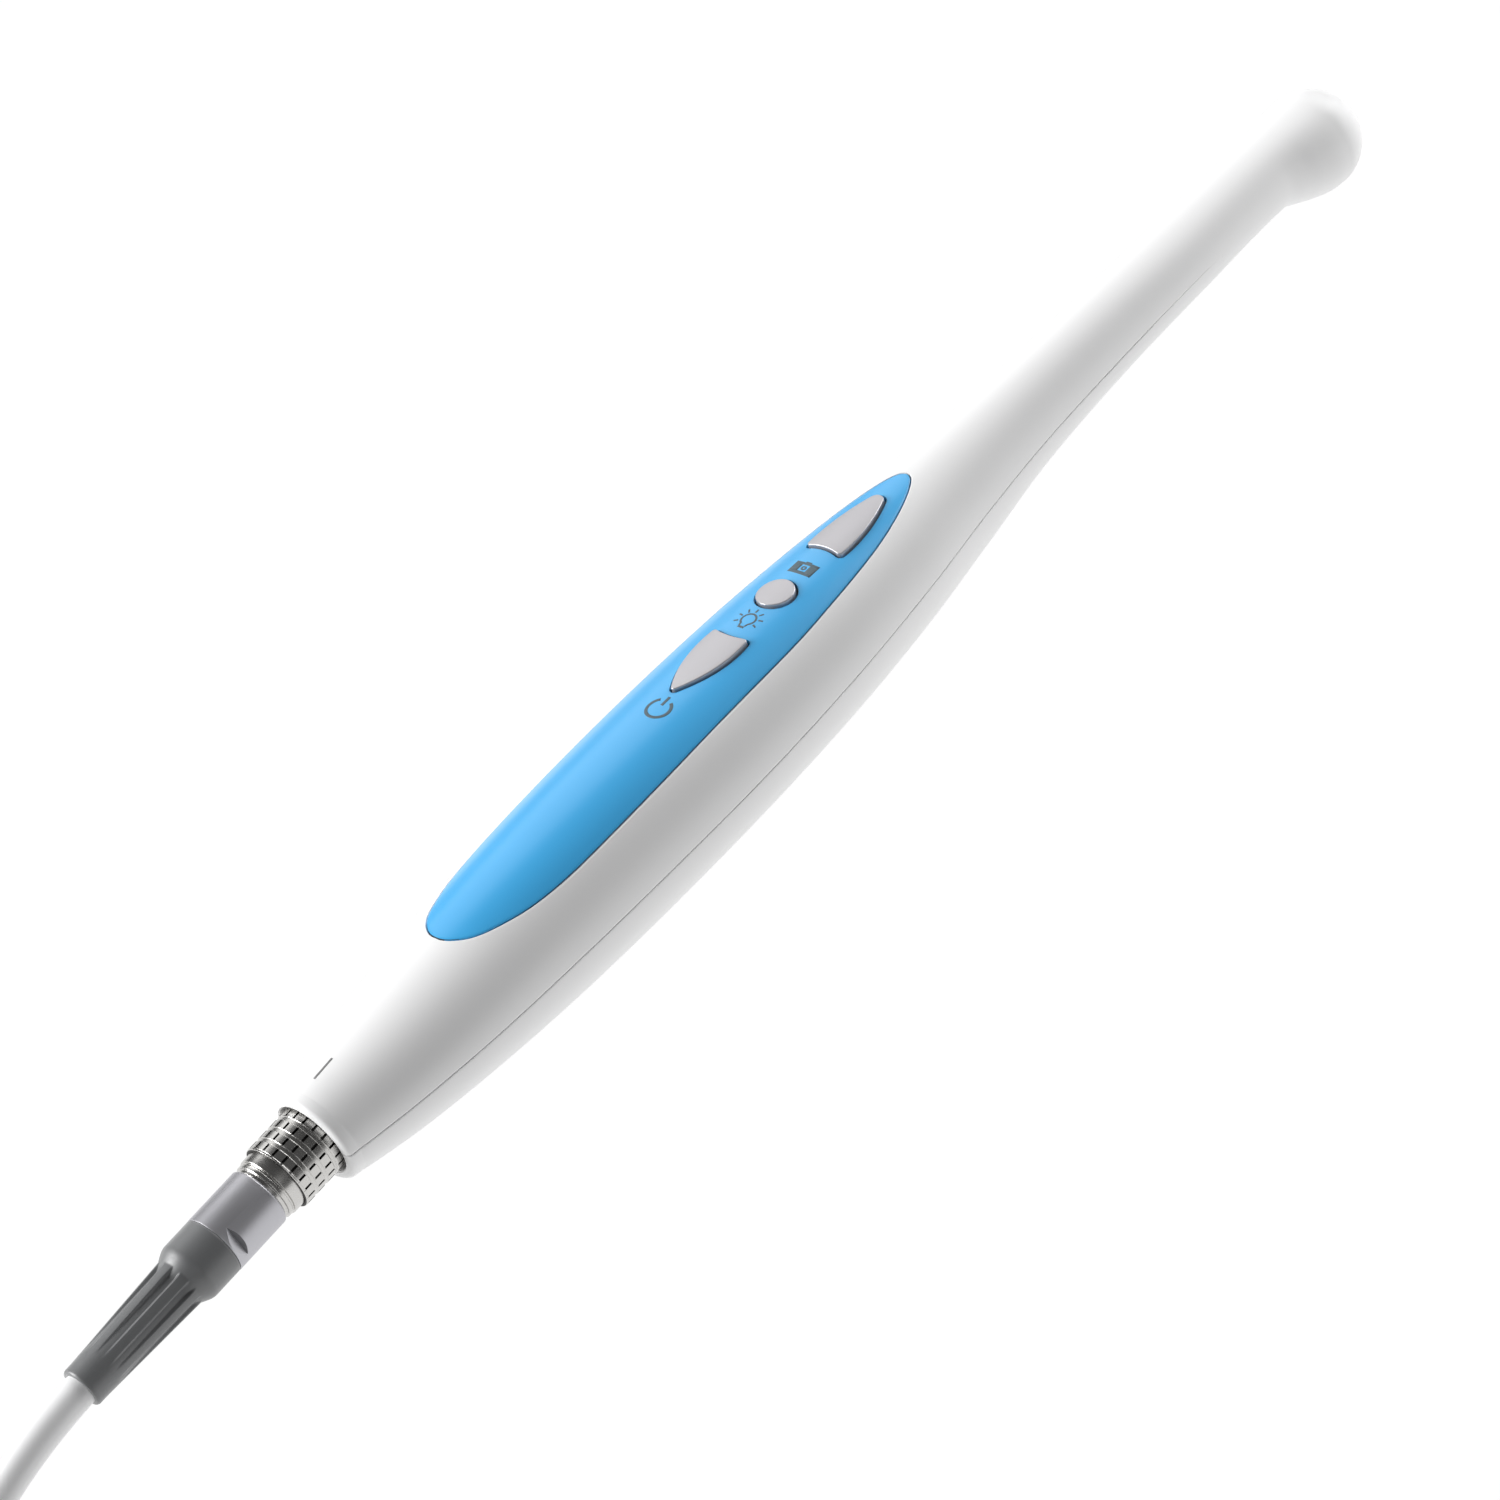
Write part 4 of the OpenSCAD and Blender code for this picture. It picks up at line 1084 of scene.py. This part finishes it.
# place along the hank, and the share of the strap's thickness that is reached there
STRAP_SECTION = [
    (-3.9, 0.25), (-3.98, 0.12), (-4, 0.5), (-3.98, 0.88), (-3.8, 1.0), (-2, 1.0), (0, 1.0), (2, 1.0),
    (3.8, 1.0), (3.98, 0.88), (4, 0.5), (3.98, 0.12), (3.9, 0.0), (0, 0.0), (-3.8, 0.0),
]
STRAP_HALF, STRAP_THICK, STRAP_LOW = 18.75, 0.72, 0.02


def strap_mesh():
    low, high = STRAP_LOW, HANK_FLOOR + 2 * CABLE_R * HANK_LAYERS + 0.75
    outer = round_box(STRAP_HALF, low, high, 3.4)
    inner = round_box(18.05, low + STRAP_THICK, high - STRAP_THICK, 2.7)
    rows = []
    for x, share in STRAP_SECTION:
        ring = inner + (outer - inner) * share
        rows.append([(HANK_X + x, y, z) for y, z in ring])
    rows = np.array(rows)
    verts = on_floor(rows.reshape(-1, 3))
    return np.array(verts), grid_faces(len(rows), rows.shape[1], wrap=True, loop=True)


strap = make("hank_strap", *strap_mesh(), LOOKS["tie_grey"], "plug", "tie_grey", ["hank_tie"], sharp=50)

# ---- computer plug ----

USB_X, USB_Y, USB_Z = -144.0, 12.0, 25.4
RELIEF_L, HOUSING_L, HOUSING_W, HOUSING_H, SHELL_L = 12.0, 30.0, 11.0, 7.6, 12.0
SHELL_START = RELIEF_L + HOUSING_L
SHELL_END = SHELL_START + SHELL_L
# distance from the housing's cable end, and how far its sides are drawn in there
HOUSING_SECTION = [
    (0, 1.0), (0.12, 0.62), (0.4, 0.3), (0.9, 0.08), (1.5, 0.0), (7, 0.0), (9, 0.18), (15, 0.32),
    (21, 0.18), (23, 0.0), (28.6, 0.0), (29.3, 0.05), (29.8, 0.25), (30, 0.55),
]
# distance from the relief's cable end, half width, half height and corner radius, outside and then inside
SHELL_SECTION = [
    (SHELL_START - 1, 6, 2.25, 0.5), (SHELL_END - 0.15, 6, 2.25, 0.5), (SHELL_END, 5.9, 2.15, 0.45),
    (SHELL_END, 5.75, 2.0, 0.35), (SHELL_START + 0.5, 5.7, 1.95, 0.3), (SHELL_START + 0.5, 1.0, 0.5, 0.2),
]
WINDOW_CORNERS = ((0, -1.1), (2.4, -1.1), (2.4, 1.1), (0, 1.1))


def usb_place(rows):
    return np.array(on_floor(np.array(rows).reshape(-1, 3) + (USB_X, USB_Y, USB_Z)))


def usb_relief_mesh(sides=64):
    t = np.linspace(0, 2 * math.pi, sides, endpoint=False)
    rows = [(0.0, 2.0), (0.0, 2.35), (0.15, 2.5)]
    for k in range(5):
        x = 1.0 + k * 2.1
        r = 2.5 + 0.09 * x
        rows += [(x, r), (x + 0.15, r + 0.03 - 0.35), (x + 0.75, r + 0.03 - 0.35), (x + 0.9, r + 0.05)]
    rows += [(RELIEF_L, 3.4), (RELIEF_L, 2.0)]
    rings = [[(x, r * math.cos(a), r * math.sin(a)) for a in t] for x, r in rows]
    return usb_place(rings), grid_faces(len(rows), sides, wrap=True, loop=True)


def capped(rows):
    """A solid through rows of points on the computer plug, closed at both ends."""
    cols = len(rows[0])
    caps = [tuple(range(cols)), tuple((len(rows) - 1) * cols + i for i in range(cols))]
    return usb_place(rows), grid_faces(len(rows), cols, wrap=True) + caps


def usb_housing_mesh():
    rows = []
    for x, inset in HOUSING_SECTION:
        ring = round_box(HOUSING_W / 2 - inset, -HOUSING_H / 2 + inset, HOUSING_H / 2 - inset, 1.9)
        rows.append([(RELIEF_L + x, y, z) for y, z in ring])
    return capped(rows)


def usb_shell_mesh():
    return capped([[(x, y, z) for y, z in round_box(w, -h, h, r, 5)] for x, w, h, r in SHELL_SECTION])


def usb_window(y, top):
    """A block that cuts one of the square windows in the plug's metal shell."""
    low, high = (2.0, 3.0) if top else (-3.0, -2.0)
    corners = [(SHELL_START + 4.6 + dx, y + dy, z) for z in (low, high) for dx, dy in WINDOW_CORNERS]
    faces = [(3, 2, 1, 0), (4, 5, 6, 7), (0, 1, 5, 4), (1, 2, 6, 5), (2, 3, 7, 6), (3, 0, 4, 7)]
    return usb_place(corners), faces


usb_relief = make(
    "computer_plug_relief", *usb_relief_mesh(), LOOKS["computer_plug_grey"], "plug", "computer_plug_grey",
    ["usb_strain_relief"],
)
usb_housing = make(
    "computer_plug_housing", *usb_housing_mesh(), LOOKS["computer_plug_grey"], "plug",
    "computer_plug_grey", ["usb_housing"],
)
usb_shell = make(
    "computer_plug_shell", *usb_shell_mesh(), LOOKS["computer_plug_steel"], "plug", "computer_plug_steel",
    ["usb_shell"],
)
for y in (-2.4, 2.4):
    for top in (True, False):
        cut(usb_shell, *usb_window(y, top))
